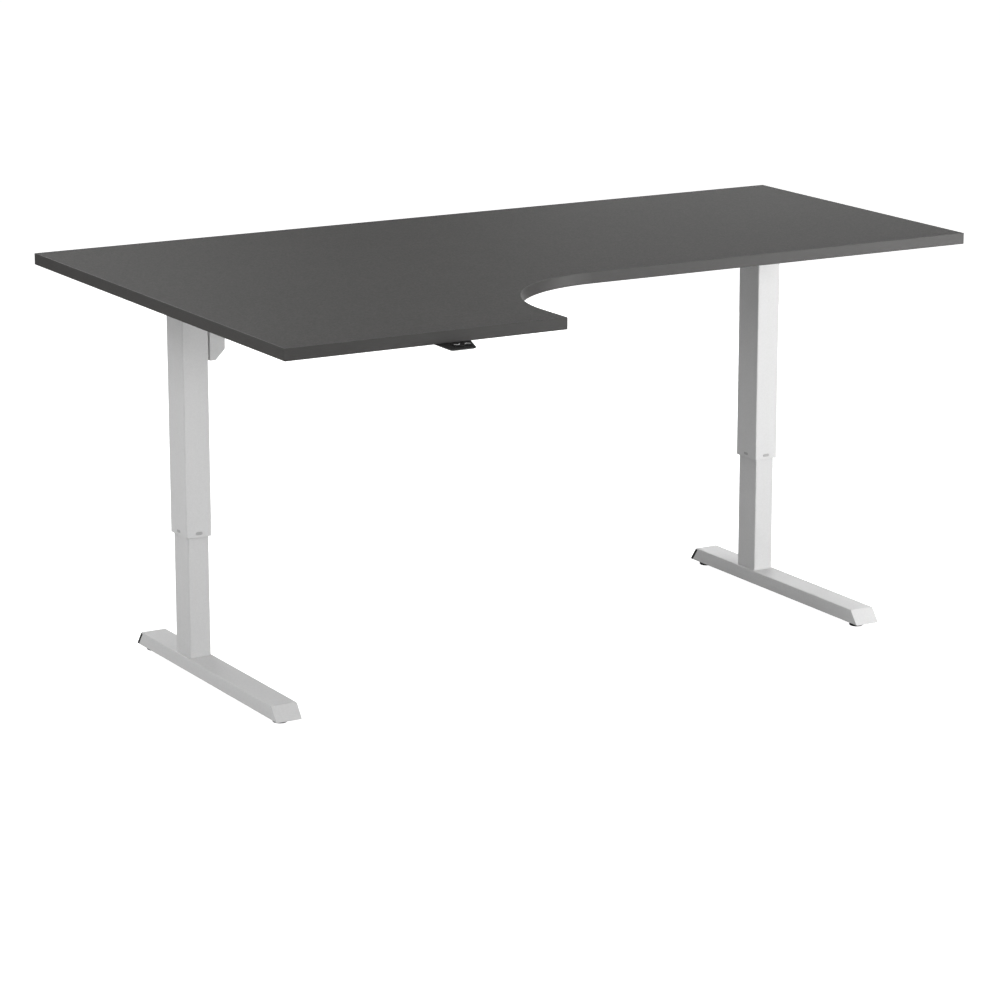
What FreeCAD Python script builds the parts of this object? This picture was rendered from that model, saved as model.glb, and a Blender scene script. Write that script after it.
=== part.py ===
import FreeCAD, Part
import math
import os

os.makedirs("parts", exist_ok=True)

V = FreeCAD.Vector
UP = V(0, 0, 1)
DOWN = V(0, 0, -1)
RIGHT = V(1, 0, 0)
BACK = V(0, 1, 0)

# ---------------------------------------------------------------------------
# Driving sizes, in millimetres. +X is the user's right, +Y is away from the
# user and +Z is up. The origin is on the floor under the middle of the desk.
# ---------------------------------------------------------------------------

# Work surface: an L with the deep part on the left.
TOP_WIDTH = 1900.0
DEEP_DEPTH = 1200.0
SHALLOW_DEPTH = 800.0
DEEP_WIDTH = 624.0
NOTCH_RADIUS = 300.0
TOP_THICKNESS = 25.0
EDGE_BAND = 2.0
EDGE_ROUND = 1.0

# Heights of the work surface above the floor.
SHOWN_HEIGHT = 898.0
LOWEST_HEIGHT = 650.0
HIGHEST_HEIGHT = 1050.0

# Legs: a thick tube above sliding over a thin tube below.
LEG_INSET = 215.0
LEG_FROM_BACK = 309.0
OUTER_WIDTH = 60.0
OUTER_DEPTH = 80.0
TUBE_STEP = 5.0
TUBE_WALL = 2.0
TUBE_CORNER = 3.0
LOWEST_GAP = 21.0
COLLAR_LIP = 3.0
COLLAR_GAP = 4.0
BASE_PLATE = 8.0

# Feet.
FOOT_WIDTH = 60.0
FOOT_HEIGHT = 31.5
FOOT_FORWARD = 458.6
FOOT_REARWARD = 231.7
FOOT_SLANT = 24.0
FOOT_WALL = 2.5
FOOT_BEND = FOOT_WALL
CAP_THICKNESS = 7.0
CAP_PLUG = 12.0
PAD_RADIUS = 16.0
PAD_HEIGHT = 12.0
FRONT_PAD_INSET = 43.0
REAR_PAD_INSET = 24.0
GLIDE_NUT_FLATS = 13.0
GLIDE_NUT_HEIGHT = 8.0

# Frame under the work surface.
ARM_HEIGHT = 40.0
ARM_WALL = 3.0
ARM_TIP_HEIGHT = 16.0
ARM_TAPER = 70.0
ARM_FRONT_INSET_DEEP = 250.0
ARM_FRONT_INSET_SHALLOW = 200.0
ARM_REAR_INSET = 70.0
BEAM_HEIGHT = 50.0
BEAM_WIDTH = 90.0
BEAM_WALL = 2.5

# Drive: one motor, a hexagonal cross shaft and one screw spindle per leg.
SHAFT_DROP = 28.0
SHAFT_FLATS = 8.0
GEAR_PITCH_RADIUS = 14.0
GEAR_TEETH = 14
GEAR_INNER_SCALE = 0.65
GEAR_COLLAR = 3.0
TOOTH_ABOVE = 1.4
TOOTH_BELOW = 2.2
TOOTH_FOOT = 0.27
TOOTH_CREST = 0.11
HUB_RADIUS = 8.0
SPINDLE_RADIUS = 6.0
JOURNAL_RADIUS = 5.0
BEARING_RADIUS = 13.0
BEARING_HEIGHT = 10.0
PUSH_TUBE_RADIUS = 11.0
PUSH_TUBE_WALL = 2.0
NUT_RADIUS = 14.0
NUT_HEIGHT = 30.0
NUT_DEPTH = 22.0
NUT_SPIGOT = 12.0
SPINDLE_TIP_GAP = 24.0
GEARBOX_WALL_CLEAR = 2.0
PLUG_DEPTH = 16.0
HOUSING_REACH = 46.0
HOUSING_NECK = 8.0
NECK_INSET = 6.0
HOUSING_DEPTH = 62.0
HOUSING_HEIGHT = 128.5
HOUSING_CHAMFER = 25.0
HOUSING_CORNER = 6.0
HOUSING_WALL = 1.5
BRACKET_WALL = 3.0
MOTOR_RADIUS = 16.5
MOTOR_LENGTH = 100.0

# Control box under the work surface.
BOX_WIDTH = 210.0
BOX_DEPTH = 105.0
BOX_HEIGHT = 36.0
BOX_WALL = 2.0
BOX_SIDE_SHARE = 0.025
BOX_FROM_BEAM = 130.0
EAR = 16.0

# Handset under the front edge of the deep part.
HANDSET_FROM_LEFT = 366.3
HANDSET_HALF_EDGE = 38.6
HANDSET_HALF_FRONT = 27.8
HANDSET_REACH = 38.8
HANDSET_DROP = 3.8
HANDSET_BEHIND = 46.0
HANDSET_LIP = 2.8
HANDSET_DEPTH = 13.0
HANDSET_RIM = 2.0
HANDSET_BEVEL = 2.6
HANDSET_SEAT = 5.0
BUTTON_OFFSETS = {"down": -1.2, "up": 20.2}
BUTTON_WIDTHS = {"down": 22.0, "up": 16.5}
BUTTON_LENGTH = 23.0
BUTTON_REACH = 16.5
BUTTON_PROUD = 0.8
CHEVRON_HALF_WIDTH = 6.5
CHEVRON_RISE = 5.0
CHEVRON_BAR = 1.9

# Clearances.
RUN = 0.05
GUIDE = 0.1
SLIP = 0.3
LOOSE = 0.5

# Fasteners.
M4, M5, M6, M8 = 2.0, 2.5, 3.0, 4.0
WOOD_SCREW = 2.3
WOOD_BITE = 16.0
HEAD_SCALE = 1.75

# Where fasteners sit, measured from the edge or the axis they belong to.
ARM_SCREW_FROM_END = 40.0
ARM_SCREW_FROM_GEARBOX = 44.0
BEAM_SCREW_SHARES = (-0.75, -0.25, 0.25, 0.75)
GEARBOX_BOLT_SPREAD = 28.0
GEARBOX_BOLT_HEIGHTS = (-6.0, 14.0)
TUBE_SCREW_SPREAD = 16.0
BRACKET_SCREW_OFFSETS = (-7.0, 22.0)
BRACKET_SCREW_DROP = 4.0
HOUSING_SCREW_DROP = 5.0
MOTOR_SCREW_SPREAD = (12.0, 22.0)
FOOT_BOLT_SPREAD = (15.0, 20.0)
HANDSET_SCREW_SHARES = (0.55, 0.6)

# ---------------------------------------------------------------------------
# Dependent sizes.
# ---------------------------------------------------------------------------
BACK_Y = (DEEP_DEPTH + HANDSET_REACH) / 2
FRONT_Y = BACK_Y - DEEP_DEPTH
SHALLOW_FRONT_Y = BACK_Y - SHALLOW_DEPTH
UNDERSIDE = SHOWN_HEIGHT - TOP_THICKNESS
LIFT = SHOWN_HEIGHT - LOWEST_HEIGHT
LEG_X = TOP_WIDTH / 2 - LEG_INSET
LEG_Y = BACK_Y - LEG_FROM_BACK
INNER_WIDTH = OUTER_WIDTH - 2 * TUBE_STEP
INNER_DEPTH = OUTER_DEPTH - 2 * TUBE_STEP
BORE_WIDTH = OUTER_WIDTH - 2 * TUBE_WALL
BORE_DEPTH = OUTER_DEPTH - 2 * TUBE_WALL

FOOT_BOTTOM = PAD_HEIGHT
FOOT_TOP = FOOT_BOTTOM + FOOT_HEIGHT
HEAD_Z = UNDERSIDE - BEAM_HEIGHT
OUTER_BOTTOM = FOOT_TOP + LOWEST_GAP + LIFT
PLUG_BOTTOM = HEAD_Z - PLUG_DEPTH
INNER_TOP = PLUG_BOTTOM - LIFT - COLLAR_LIP - COLLAR_GAP
NUT_TOP = INNER_TOP - NUT_DEPTH
NUT_BOTTOM = NUT_TOP - NUT_HEIGHT
SPINDLE_BOTTOM = FOOT_TOP + BASE_PLATE + SPINDLE_TIP_GAP + LIFT
if SPINDLE_BOTTOM + HIGHEST_HEIGHT - SHOWN_HEIGHT > NUT_BOTTOM:
    raise ValueError("the spindle leaves its nut at the highest setting")

SHAFT_Z = UNDERSIDE - SHAFT_DROP
GEAR_BACK = GEAR_PITCH_RADIUS + GEAR_COLLAR
GEAR_OUTER_RADIUS = GEAR_PITCH_RADIUS + 1.5
CAVITY_HALF = GEAR_OUTER_RADIUS + 3.0
GEARBOX_WIDTH = OUTER_WIDTH - 1.0
GEARBOX_DEPTH = OUTER_DEPTH - 5.0
CAVITY_FLOOR = SHAFT_Z - GEAR_BACK - 1.0
BEARING_TOP = CAVITY_FLOOR - 2.0
BEARING_BOTTOM = BEARING_TOP - BEARING_HEIGHT
ARM_INNER = GEARBOX_WIDTH + 2 * GEARBOX_WALL_CLEAR
ARM_OUTER = ARM_INNER + 2 * ARM_WALL
ARM_FACE = LEG_X - ARM_OUTER / 2
WEB_Z = UNDERSIDE - ARM_WALL

HOUSING_X0 = -LEG_X + OUTER_WIDTH / 2 + SLIP
HOUSING_X1 = HOUSING_X0 + HOUSING_REACH
MOTOR_X = (HOUSING_X0 + HOUSING_NECK + HOUSING_X1) / 2
BRACKET_Z = HEAD_Z
HOUSING_BOTTOM = BRACKET_Z - HOUSING_HEIGHT

LEGS = {"left": -LEG_X, "right": LEG_X}
ARM_FRONT = {
    "left": FRONT_Y + ARM_FRONT_INSET_DEEP,
    "right": SHALLOW_FRONT_Y + ARM_FRONT_INSET_SHALLOW,
}
ARM_BACK = BACK_Y - ARM_REAR_INSET


# ---------------------------------------------------------------------------
# Small helpers.
# ---------------------------------------------------------------------------
def block(x0, x1, y0, y1, z0, z1):
    """Box between two opposite corners."""
    return Part.makeBox(x1 - x0, y1 - y0, z1 - z0, V(x0, y0, z0))


def rounded_prism(cx, cy, width, depth, z0, z1, radius):
    """Upright rectangular prism with rounded vertical edges."""
    body = block(cx - width / 2, cx + width / 2, cy - depth / 2, cy + depth / 2, z0, z1)
    upright = [e for e in body.Edges if abs(e.tangentAt(e.FirstParameter).z) > 0.99]
    return body.makeFillet(radius, upright)


def rod(at, direction, radius, length):
    """Cylinder that starts at a point and runs along a direction."""
    return Part.makeCylinder(radius, length, at, direction)


def profile_x(points, x0, x1):
    """Closed polygon of (y, z) points, extruded along X."""
    wire = Part.makePolygon([V(x0, y, z) for y, z in points + points[:1]])
    return Part.Face(wire).extrude(V(x1 - x0, 0, 0))


def hexagon(at, direction, across_flats, length):
    """Hexagonal bar that starts at a point and runs along a direction."""
    corner = across_flats / math.sqrt(3)
    turns = [math.radians(60 * i) for i in range(7)]
    wire = Part.makePolygon([V(corner * math.cos(a), corner * math.sin(a), 0) for a in turns])
    bar = Part.Face(wire).extrude(V(0, 0, length))
    bar.Placement = FreeCAD.Placement(at, FreeCAD.Rotation(UP, direction))
    return bar


def bolt(at, direction, radius, length):
    """Socket screw: its head sits against the point, its shank runs along the direction."""
    head_radius = radius * HEAD_SCALE
    head_height = radius * 1.1
    body = rod(at, direction, radius, length)
    body = body.fuse(rod(at, direction * -1, head_radius, head_height))
    socket_at = at - direction * head_height
    socket = hexagon(socket_at, direction, radius * 1.2, head_height * 0.6)
    return body.cut(socket).removeSplitter()


def cut_all(shape, tools):
    """Cut every tool from a shape."""
    return shape.cut(Part.makeCompound(tools)) if tools else shape


def save(node, shape):
    """Write one node, as one solid or as a group of solids."""
    solids = shape.Solids
    if not solids:
        raise ValueError(node + " has no solid")
    result = solids[0] if len(solids) == 1 else Part.makeCompound(solids)
    result.exportStep("parts/" + node + ".step")
    print(node, len(solids), round(sum(s.Volume for s in solids) / 1000, 1), "cm3")


# ---------------------------------------------------------------------------
# Fastener positions, shared by the screws and the holes they sit in.
# ---------------------------------------------------------------------------
def arm_screw_ys(side):
    """Screws from one side arm into the work surface."""
    front = ARM_FRONT[side] + ARM_SCREW_FROM_END
    reach = GEARBOX_DEPTH / 2 + ARM_SCREW_FROM_GEARBOX
    near_leg = LEG_Y - reach
    return [front, (front + near_leg) / 2, near_leg, LEG_Y + reach, ARM_BACK - ARM_SCREW_FROM_END]


def beam_screws():
    """Screws from the crossbeam into the work surface."""
    xs = [ARM_FACE * share for share in BEAM_SCREW_SHARES]
    return [(x, LEG_Y + s * GEARBOX_BOLT_SPREAD) for x in xs for s in (-1, 1)]


def box_centre():
    """Middle of the control box: just in front of the crossbeam, right of centre."""
    return (TOP_WIDTH * BOX_SIDE_SHARE, LEG_Y - BEAM_WIDTH / 2 - BOX_DEPTH / 2 - BOX_FROM_BEAM)


def box_screws():
    """Screws through the control box ears into the work surface."""
    cx, cy = box_centre()
    across = BOX_WIDTH / 2 + EAR / 2
    along = BOX_DEPTH / 2 - EAR
    return [(cx + sx * across, cy + sy * along) for sx in (-1, 1) for sy in (-1, 1)]


def handset_screws():
    """Screws through the handset into the work surface."""
    cx = -TOP_WIDTH / 2 + HANDSET_FROM_LEFT
    across, behind = HANDSET_SCREW_SHARES
    y = FRONT_Y + HANDSET_BEHIND * behind
    return [(cx + s * HANDSET_HALF_EDGE * across, y) for s in (-1, 1)]


def wood_screw_seats():
    """Every wood screw as (x, y, z of the sheet it clamps)."""
    seats = []
    for side, x in LEGS.items():
        seats += [(x, y, WEB_Z) for y in arm_screw_ys(side)]
    seats += [(x, y, UNDERSIDE - BEAM_WALL) for x, y in beam_screws()]
    seats += [(x, y, UNDERSIDE - BOX_WALL) for x, y in box_screws()]
    seats += [(x, y, UNDERSIDE - HANDSET_SEAT) for x, y in handset_screws()]
    return seats


def gearbox_bolt_points():
    """Bolts that hold the arms and the crossbeam to the gearboxes: (point, direction)."""
    points = []
    for side, x in LEGS.items():
        inward = 1 if side == "left" else -1
        outer_face = x - inward * ARM_OUTER / 2
        inner_face = x + inward * (ARM_OUTER / 2 + ARM_WALL)
        for y in (LEG_Y - GEARBOX_BOLT_SPREAD, LEG_Y + GEARBOX_BOLT_SPREAD):
            for z in (SHAFT_Z + height for height in GEARBOX_BOLT_HEIGHTS):
                points.append((V(outer_face, y, z), V(inward, 0, 0)))
                points.append((V(inner_face, y, z), V(-inward, 0, 0)))
    return points


def tube_screw_points():
    """Screws through the top of each outer tube into the gearbox plug."""
    z = (PLUG_BOTTOM + HEAD_Z) / 2
    points = []
    for x in LEGS.values():
        for dx in (-TUBE_SCREW_SPREAD, TUBE_SCREW_SPREAD):
            for face in (-1, 1):
                points.append((V(x + dx, LEG_Y + face * OUTER_DEPTH / 2, z), V(0, -face, 0)))
    return points


def bracket_screw_points():
    """Screws through the crossbeam sides into the motor bracket."""
    z = SHAFT_Z - BRACKET_SCREW_DROP
    points = []
    for dx in BRACKET_SCREW_OFFSETS:
        for face in (-1, 1):
            points.append((V(MOTOR_X + dx, LEG_Y + face * BEAM_WIDTH / 2, z), V(0, -face, 0)))
    return points


def housing_screw_points():
    """Screws through the housing sides into the motor flange."""
    z = BRACKET_Z - HOUSING_SCREW_DROP
    return [(V(MOTOR_X, LEG_Y + face * HOUSING_DEPTH / 2, z), V(0, -face, 0)) for face in (-1, 1)]


def motor_screw_points():
    """Screws through the bracket down into the motor flange."""
    z = BRACKET_Z + BRACKET_WALL
    dx, dy = MOTOR_SCREW_SPREAD
    return [V(MOTOR_X + sx * dx, LEG_Y + sy * dy, z) for sx in (-1, 1) for sy in (-1, 1)]


def foot_bolt_points(x):
    """Bolts from inside the foot up into the base plate."""
    z = FOOT_TOP - FOOT_WALL
    dx, dy = FOOT_BOLT_SPREAD
    return [V(x + sx * dx, LEG_Y + sy * dy, z) for sx in (-1, 1) for sy in (-1, 1)]


def pad_ys():
    """Front and rear glide positions along the foot."""
    front = LEG_Y - FOOT_FORWARD + FRONT_PAD_INSET
    rear = LEG_Y + FOOT_REARWARD - REAR_PAD_INSET
    return {"front": front, "rear": rear}


# ---------------------------------------------------------------------------
# Work surface.
# ---------------------------------------------------------------------------
def top_outline(inset, z):
    """Face of the work surface outline, moved inwards by an inset."""
    left = -TOP_WIDTH / 2 + inset
    right = TOP_WIDTH / 2 - inset
    front = FRONT_Y + inset
    back = BACK_Y - inset
    shelf = SHALLOW_FRONT_Y + inset
    centre = V(-TOP_WIDTH / 2 + DEEP_WIDTH + NOTCH_RADIUS, SHALLOW_FRONT_Y - NOTCH_RADIUS, z)
    radius = NOTCH_RADIUS + inset
    reach = radius * math.sqrt(0.5)
    start = V(centre.x - radius, centre.y, z)
    middle = V(centre.x - reach, centre.y + reach, z)
    end = V(centre.x, shelf, z)
    corners = [end, V(right, shelf, z), V(right, back, z), V(left, back, z), V(left, front, z)]
    corners += [V(start.x, front, z), start]
    edges = [Part.makeLine(a, b) for a, b in zip(corners, corners[1:])]
    edges.append(Part.Arc(start, middle, end).toShape())
    return Part.Face(Part.Wire(Part.__sortEdges__(edges)))


def make_tabletop():
    """Board core with blind pilot holes for the wood screws."""
    board = top_outline(EDGE_BAND, UNDERSIDE).extrude(V(0, 0, TOP_THICKNESS))
    pilots = []
    for x, y, seat in wood_screw_seats():
        pilots.append(rod(V(x, y, UNDERSIDE - 1), UP, WOOD_SCREW + SLIP, WOOD_BITE + 2))
    return cut_all(board, pilots)


def make_edge_band():
    """Plastic strip glued round the board, rounded along its upper and lower edges."""
    outer = top_outline(0, UNDERSIDE).extrude(V(0, 0, TOP_THICKNESS))
    rims = [e for e in outer.Edges if abs(e.BoundBox.ZMax - e.BoundBox.ZMin) < 1e-6]
    outer = outer.makeFillet(EDGE_ROUND, rims)
    inner = top_outline(EDGE_BAND, UNDERSIDE - 1).extrude(V(0, 0, TOP_THICKNESS + 2))
    return outer.cut(inner)


# ---------------------------------------------------------------------------
# Frame under the work surface.
# ---------------------------------------------------------------------------
def make_side_arm(side):
    """Folded channel, open below, that carries the work surface over one leg."""
    x = LEGS[side]
    y0 = ARM_FRONT[side]
    y1 = ARM_BACK
    low = UNDERSIDE - ARM_HEIGHT
    tip = UNDERSIDE - ARM_TIP_HEIGHT
    outline = [(y0, UNDERSIDE), (y1, UNDERSIDE), (y1, tip)]
    outline += [(y1 - ARM_TAPER, low), (y0 + ARM_TAPER, low), (y0, tip)]
    arm = profile_x(outline, x - ARM_OUTER / 2, x + ARM_OUTER / 2)
    hollow = block(x - ARM_INNER / 2, x + ARM_INNER / 2, y0 - 1, y1 + 1, low - 1, WEB_Z)
    tools = [hollow]
    for y in arm_screw_ys(side):
        tools.append(rod(V(x, y, WEB_Z - 1), UP, WOOD_SCREW + LOOSE, ARM_WALL + 2))
    inward = 1 if side == "left" else -1
    tools.append(rod(V(x, LEG_Y, SHAFT_Z), V(inward, 0, 0), HUB_RADIUS + 2, ARM_OUTER))
    for at, direction in gearbox_bolt_points():
        tools.append(rod(at - direction * 5, direction, M6 + SLIP, 15))
    return cut_all(arm, tools)


def make_crossbeam():
    """Folded channel between the side arms with a plate welded in at each end."""
    low = HEAD_Z
    half = BEAM_WIDTH / 2
    beam = block(-ARM_FACE, ARM_FACE, LEG_Y - half, LEG_Y + half, low, UNDERSIDE)
    inner = half - BEAM_WALL
    end = ARM_FACE - ARM_WALL
    hollow = block(-end, end, LEG_Y - inner, LEG_Y + inner, low - 1, UNDERSIDE - BEAM_WALL)
    tools = [hollow, rod(V(-TOP_WIDTH / 2, LEG_Y, SHAFT_Z), RIGHT, HUB_RADIUS + 2, TOP_WIDTH)]
    for x, y in beam_screws():
        tools.append(rod(V(x, y, UNDERSIDE - BEAM_WALL - 1), UP, WOOD_SCREW + LOOSE, BEAM_WALL + 2))
    for at, direction in gearbox_bolt_points():
        tools.append(rod(at - direction * 5, direction, M6 + SLIP, 15))
    for at, direction in bracket_screw_points():
        tools.append(rod(at - direction, direction, M5 + SLIP, BEAM_WALL + 2))
    return cut_all(beam, tools)


# ---------------------------------------------------------------------------
# Legs.
# ---------------------------------------------------------------------------
TAB_LENGTH = 16.0
TAB_HEIGHT = 6.0
TAB_RISE = 8.5
GUIDE_HEIGHT = 26.0


def oval_tab(x, y, along_x, reach, grow):
    """Oval prism through one tube face, used for the guide tabs and their slots."""
    half = (TAB_LENGTH - TAB_HEIGHT) / 2
    radius = TAB_HEIGHT / 2 + grow
    z = OUTER_BOTTOM + TAB_RISE
    side = RIGHT if along_x else BACK
    out = BACK if along_x else RIGHT
    start = V(x, y, z) - out * (reach / 2)
    ends = [rod(start + side * (s * half), out, radius, reach) for s in (-1, 1)]
    span = side * (2 * half) + out * reach
    corner = start - side * half
    low = V(min(corner.x, corner.x + span.x), min(corner.y, corner.y + span.y), z - radius)
    bar = Part.makeBox(abs(span.x), abs(span.y), 2 * radius, low)
    return ends[0].fuse(ends[1]).fuse(bar).removeSplitter()


def tab_positions(x, width, depth):
    """One tab in the middle of each of the four faces."""
    return [
        (x - width / 2, LEG_Y, False),
        (x + width / 2, LEG_Y, False),
        (x, LEG_Y - depth / 2, True),
        (x, LEG_Y + depth / 2, True),
    ]


def make_outer_tube(x):
    """Upper tube with four slots near its lower end."""
    tube = rounded_prism(x, LEG_Y, OUTER_WIDTH, OUTER_DEPTH, OUTER_BOTTOM, HEAD_Z, TUBE_CORNER)
    corner = TUBE_CORNER - 1
    bore = rounded_prism(x, LEG_Y, BORE_WIDTH, BORE_DEPTH, OUTER_BOTTOM - 1, HEAD_Z + 1, corner)
    mid_width = OUTER_WIDTH - TUBE_WALL
    mid_depth = OUTER_DEPTH - TUBE_WALL
    tools = [bore]
    for px, py, along_x in tab_positions(x, mid_width, mid_depth):
        tools.append(oval_tab(px, py, along_x, 2 * TUBE_WALL, SLIP))
    for at, direction in tube_screw_points():
        tools.append(rod(at - direction, direction, M5 + SLIP, TUBE_WALL + 2))
    return cut_all(tube, tools)


def make_lower_guide(x):
    """Plastic collar in the foot of the outer tube; its tabs snap into the slots."""
    low = OUTER_BOTTOM + 1
    width = BORE_WIDTH - 2 * GUIDE
    depth = BORE_DEPTH - 2 * GUIDE
    collar = rounded_prism(x, LEG_Y, width, depth, low, low + GUIDE_HEIGHT, TUBE_CORNER - 1)
    tab_reach = TUBE_WALL + 2 * GUIDE
    for px, py, along_x in tab_positions(x, OUTER_WIDTH - tab_reach, OUTER_DEPTH - tab_reach):
        collar = collar.fuse(oval_tab(px, py, along_x, tab_reach, 0))
    slide_width = INNER_WIDTH + 2 * GUIDE
    slide_depth = INNER_DEPTH + 2 * GUIDE
    top = low + GUIDE_HEIGHT
    bore = rounded_prism(x, LEG_Y, slide_width, slide_depth, low - 1, top + 1, TUBE_CORNER)
    return collar.cut(bore)


def make_inner_tube(x):
    """Lower tube, standing on the foot."""
    tube = rounded_prism(x, LEG_Y, INNER_WIDTH, INNER_DEPTH, FOOT_TOP, INNER_TOP, TUBE_CORNER)
    width = INNER_WIDTH - 2 * TUBE_WALL
    depth = INNER_DEPTH - 2 * TUBE_WALL
    bore = rounded_prism(x, LEG_Y, width, depth, FOOT_TOP - 1, INNER_TOP + 1, TUBE_CORNER - 1)
    return tube.cut(bore)


def make_upper_guide(x):
    """Plastic collar on top of the inner tube, with a lip that rests on its rim."""
    width = BORE_WIDTH - 4 * GUIDE
    depth = BORE_DEPTH - 4 * GUIDE
    low = INNER_TOP - 32
    top = INNER_TOP + COLLAR_LIP
    collar = rounded_prism(x, LEG_Y, width, depth, low, top, TUBE_CORNER - 1)
    seat_width = INNER_WIDTH + GUIDE
    seat_depth = INNER_DEPTH + GUIDE
    seat = rounded_prism(x, LEG_Y, seat_width, seat_depth, low - 1, INNER_TOP, TUBE_CORNER)
    open_width = INNER_WIDTH - 2 * TUBE_WALL
    open_depth = INNER_DEPTH - 2 * TUBE_WALL
    bore = rounded_prism(x, LEG_Y, open_width, open_depth, low - 1, top + 1, TUBE_CORNER - 1)
    return collar.cut(seat).cut(bore)


def make_base_plate(x):
    """Steel plate in the lower end of the inner tube."""
    width = INNER_WIDTH - 2 * TUBE_WALL - 2 * GUIDE
    depth = INNER_DEPTH - 2 * TUBE_WALL - 2 * GUIDE
    plate = rounded_prism(x, LEG_Y, width, depth, FOOT_TOP, FOOT_TOP + BASE_PLATE, TUBE_CORNER - 1)
    holes = [rod(V(p.x, p.y, FOOT_TOP - 1), UP, M8 + SLIP, BASE_PLATE + 2) for p in foot_bolt_points(x)]
    return cut_all(plate, holes)


# ---------------------------------------------------------------------------
# Spindle drive inside each leg.
# ---------------------------------------------------------------------------
def make_push_tube(x):
    """Round tube that stands on the base plate and carries the spindle nut."""
    low = FOOT_TOP + BASE_PLATE
    tube = rod(V(x, LEG_Y, low), UP, PUSH_TUBE_RADIUS, NUT_BOTTOM - low)
    bore = rod(V(x, LEG_Y, low - 1), UP, PUSH_TUBE_RADIUS - PUSH_TUBE_WALL, NUT_BOTTOM - low + 2)
    return tube.cut(bore)


def make_spindle_nut(x):
    """Plastic nut with a spigot in the push tube; the thread is left as a plain bore."""
    flange = rod(V(x, LEG_Y, NUT_BOTTOM), UP, NUT_RADIUS, NUT_HEIGHT)
    spigot_radius = PUSH_TUBE_RADIUS - PUSH_TUBE_WALL - SLIP
    nut = flange.fuse(rod(V(x, LEG_Y, NUT_BOTTOM - NUT_SPIGOT), UP, spigot_radius, NUT_SPIGOT + 1))
    bore_low = NUT_BOTTOM - NUT_SPIGOT - 1
    bore = rod(V(x, LEG_Y, bore_low), UP, SPINDLE_RADIUS + RUN, NUT_TOP + 1 - bore_low)
    return nut.cut(bore)


def make_spindle(x):
    """Lifting screw with a shoulder under the bearing and a journal for its gear."""
    screw = rod(V(x, LEG_Y, SPINDLE_BOTTOM), UP, SPINDLE_RADIUS, BEARING_BOTTOM - SPINDLE_BOTTOM)
    tip = [e for e in screw.Edges if abs(e.BoundBox.ZMax - SPINDLE_BOTTOM) < 1e-3 and e.Closed]
    screw = screw.makeChamfer(1.0, tip)
    gear_low = SHAFT_Z - GEAR_BACK
    journal = rod(V(x, LEG_Y, BEARING_BOTTOM - 1), UP, JOURNAL_RADIUS, gear_low - BEARING_BOTTOM + 1)
    nose_top = SHAFT_Z - GEAR_PITCH_RADIUS * GEAR_INNER_SCALE
    nose = rod(V(x, LEG_Y, gear_low - 1), UP, JOURNAL_RADIUS - 1, nose_top - gear_low + 1)
    return screw.fuse(journal).fuse(nose).removeSplitter()


def make_thrust_bearing(x):
    """Bearing in the gearbox base that the spindle shoulder pushes up against."""
    ring = rod(V(x, LEG_Y, BEARING_BOTTOM), UP, BEARING_RADIUS, BEARING_HEIGHT)
    return ring.cut(rod(V(x, LEG_Y, BEARING_BOTTOM - 1), UP, JOURNAL_RADIUS + RUN, BEARING_HEIGHT + 2))


def gear_ring(scale, turn):
    """Toothed outline of a bevel gear at one distance from its apex."""
    pitch = 2 * math.pi / GEAR_TEETH
    tip_radius = (GEAR_PITCH_RADIUS + TOOTH_ABOVE) * scale
    root_radius = (GEAR_PITCH_RADIUS - TOOTH_BELOW) * scale
    points = []
    for i in range(GEAR_TEETH):
        middle = i * pitch + turn
        corners = [(-TOOTH_FOOT, root_radius), (-TOOTH_CREST, tip_radius)]
        corners += [(TOOTH_CREST, tip_radius), (TOOTH_FOOT, root_radius)]
        for share, radius in corners:
            angle = middle + share * pitch
            down = -GEAR_PITCH_RADIUS * scale
            points.append(V(radius * math.cos(angle), radius * math.sin(angle), down))
    return Part.makePolygon(points + points[:1])


def bevel_gear(apex, direction, turn, hub_length):
    """Straight-toothed bevel gear whose teeth point at the apex along a direction."""
    teeth = Part.makeLoft([gear_ring(1.0, turn), gear_ring(GEAR_INNER_SCALE, turn)], True, True)
    collar = rod(V(0, 0, -GEAR_BACK), UP, GEAR_PITCH_RADIUS - TOOTH_BELOW, GEAR_COLLAR)
    gear = teeth.fuse(collar)
    if hub_length:
        gear = gear.fuse(rod(V(0, 0, -GEAR_BACK - hub_length), UP, HUB_RADIUS, hub_length))
    gear.Placement = FreeCAD.Placement(apex, FreeCAD.Rotation(UP, direction))
    return gear


def make_spindle_gear(x):
    """Bevel gear on top of one spindle."""
    gear = bevel_gear(V(x, LEG_Y, SHAFT_Z), UP, 0.0, 0)
    return gear.cut(rod(V(x, LEG_Y, HEAD_Z), UP, JOURNAL_RADIUS - 1 + RUN, BEAM_HEIGHT))


def shaft_gear_apexes():
    """Points on the shaft axis above the two spindles and the motor."""
    return [-LEG_X, MOTOR_X, LEG_X]


def make_shaft_gears():
    """The three equal bevel gears on the cross shaft."""
    hub = GEARBOX_WIDTH / 2 - GEAR_BACK - 4
    half_tooth = math.pi / GEAR_TEETH
    gears = []
    for x in shaft_gear_apexes():
        gear = bevel_gear(V(x, LEG_Y, SHAFT_Z), V(-1, 0, 0), half_tooth, hub)
        bore = hexagon(V(x, LEG_Y, SHAFT_Z), RIGHT, SHAFT_FLATS + 2 * RUN, GEARBOX_WIDTH)
        gears.append(gear.cut(bore))
    return Part.makeCompound(gears)


def make_hex_shaft():
    """Hexagonal bar from the left gearbox to the right one."""
    start = -LEG_X + GEAR_PITCH_RADIUS * GEAR_INNER_SCALE
    end = LEG_X + GEARBOX_WIDTH / 2 - 4
    return hexagon(V(start, LEG_Y, SHAFT_Z), RIGHT, SHAFT_FLATS, end - start)


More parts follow.
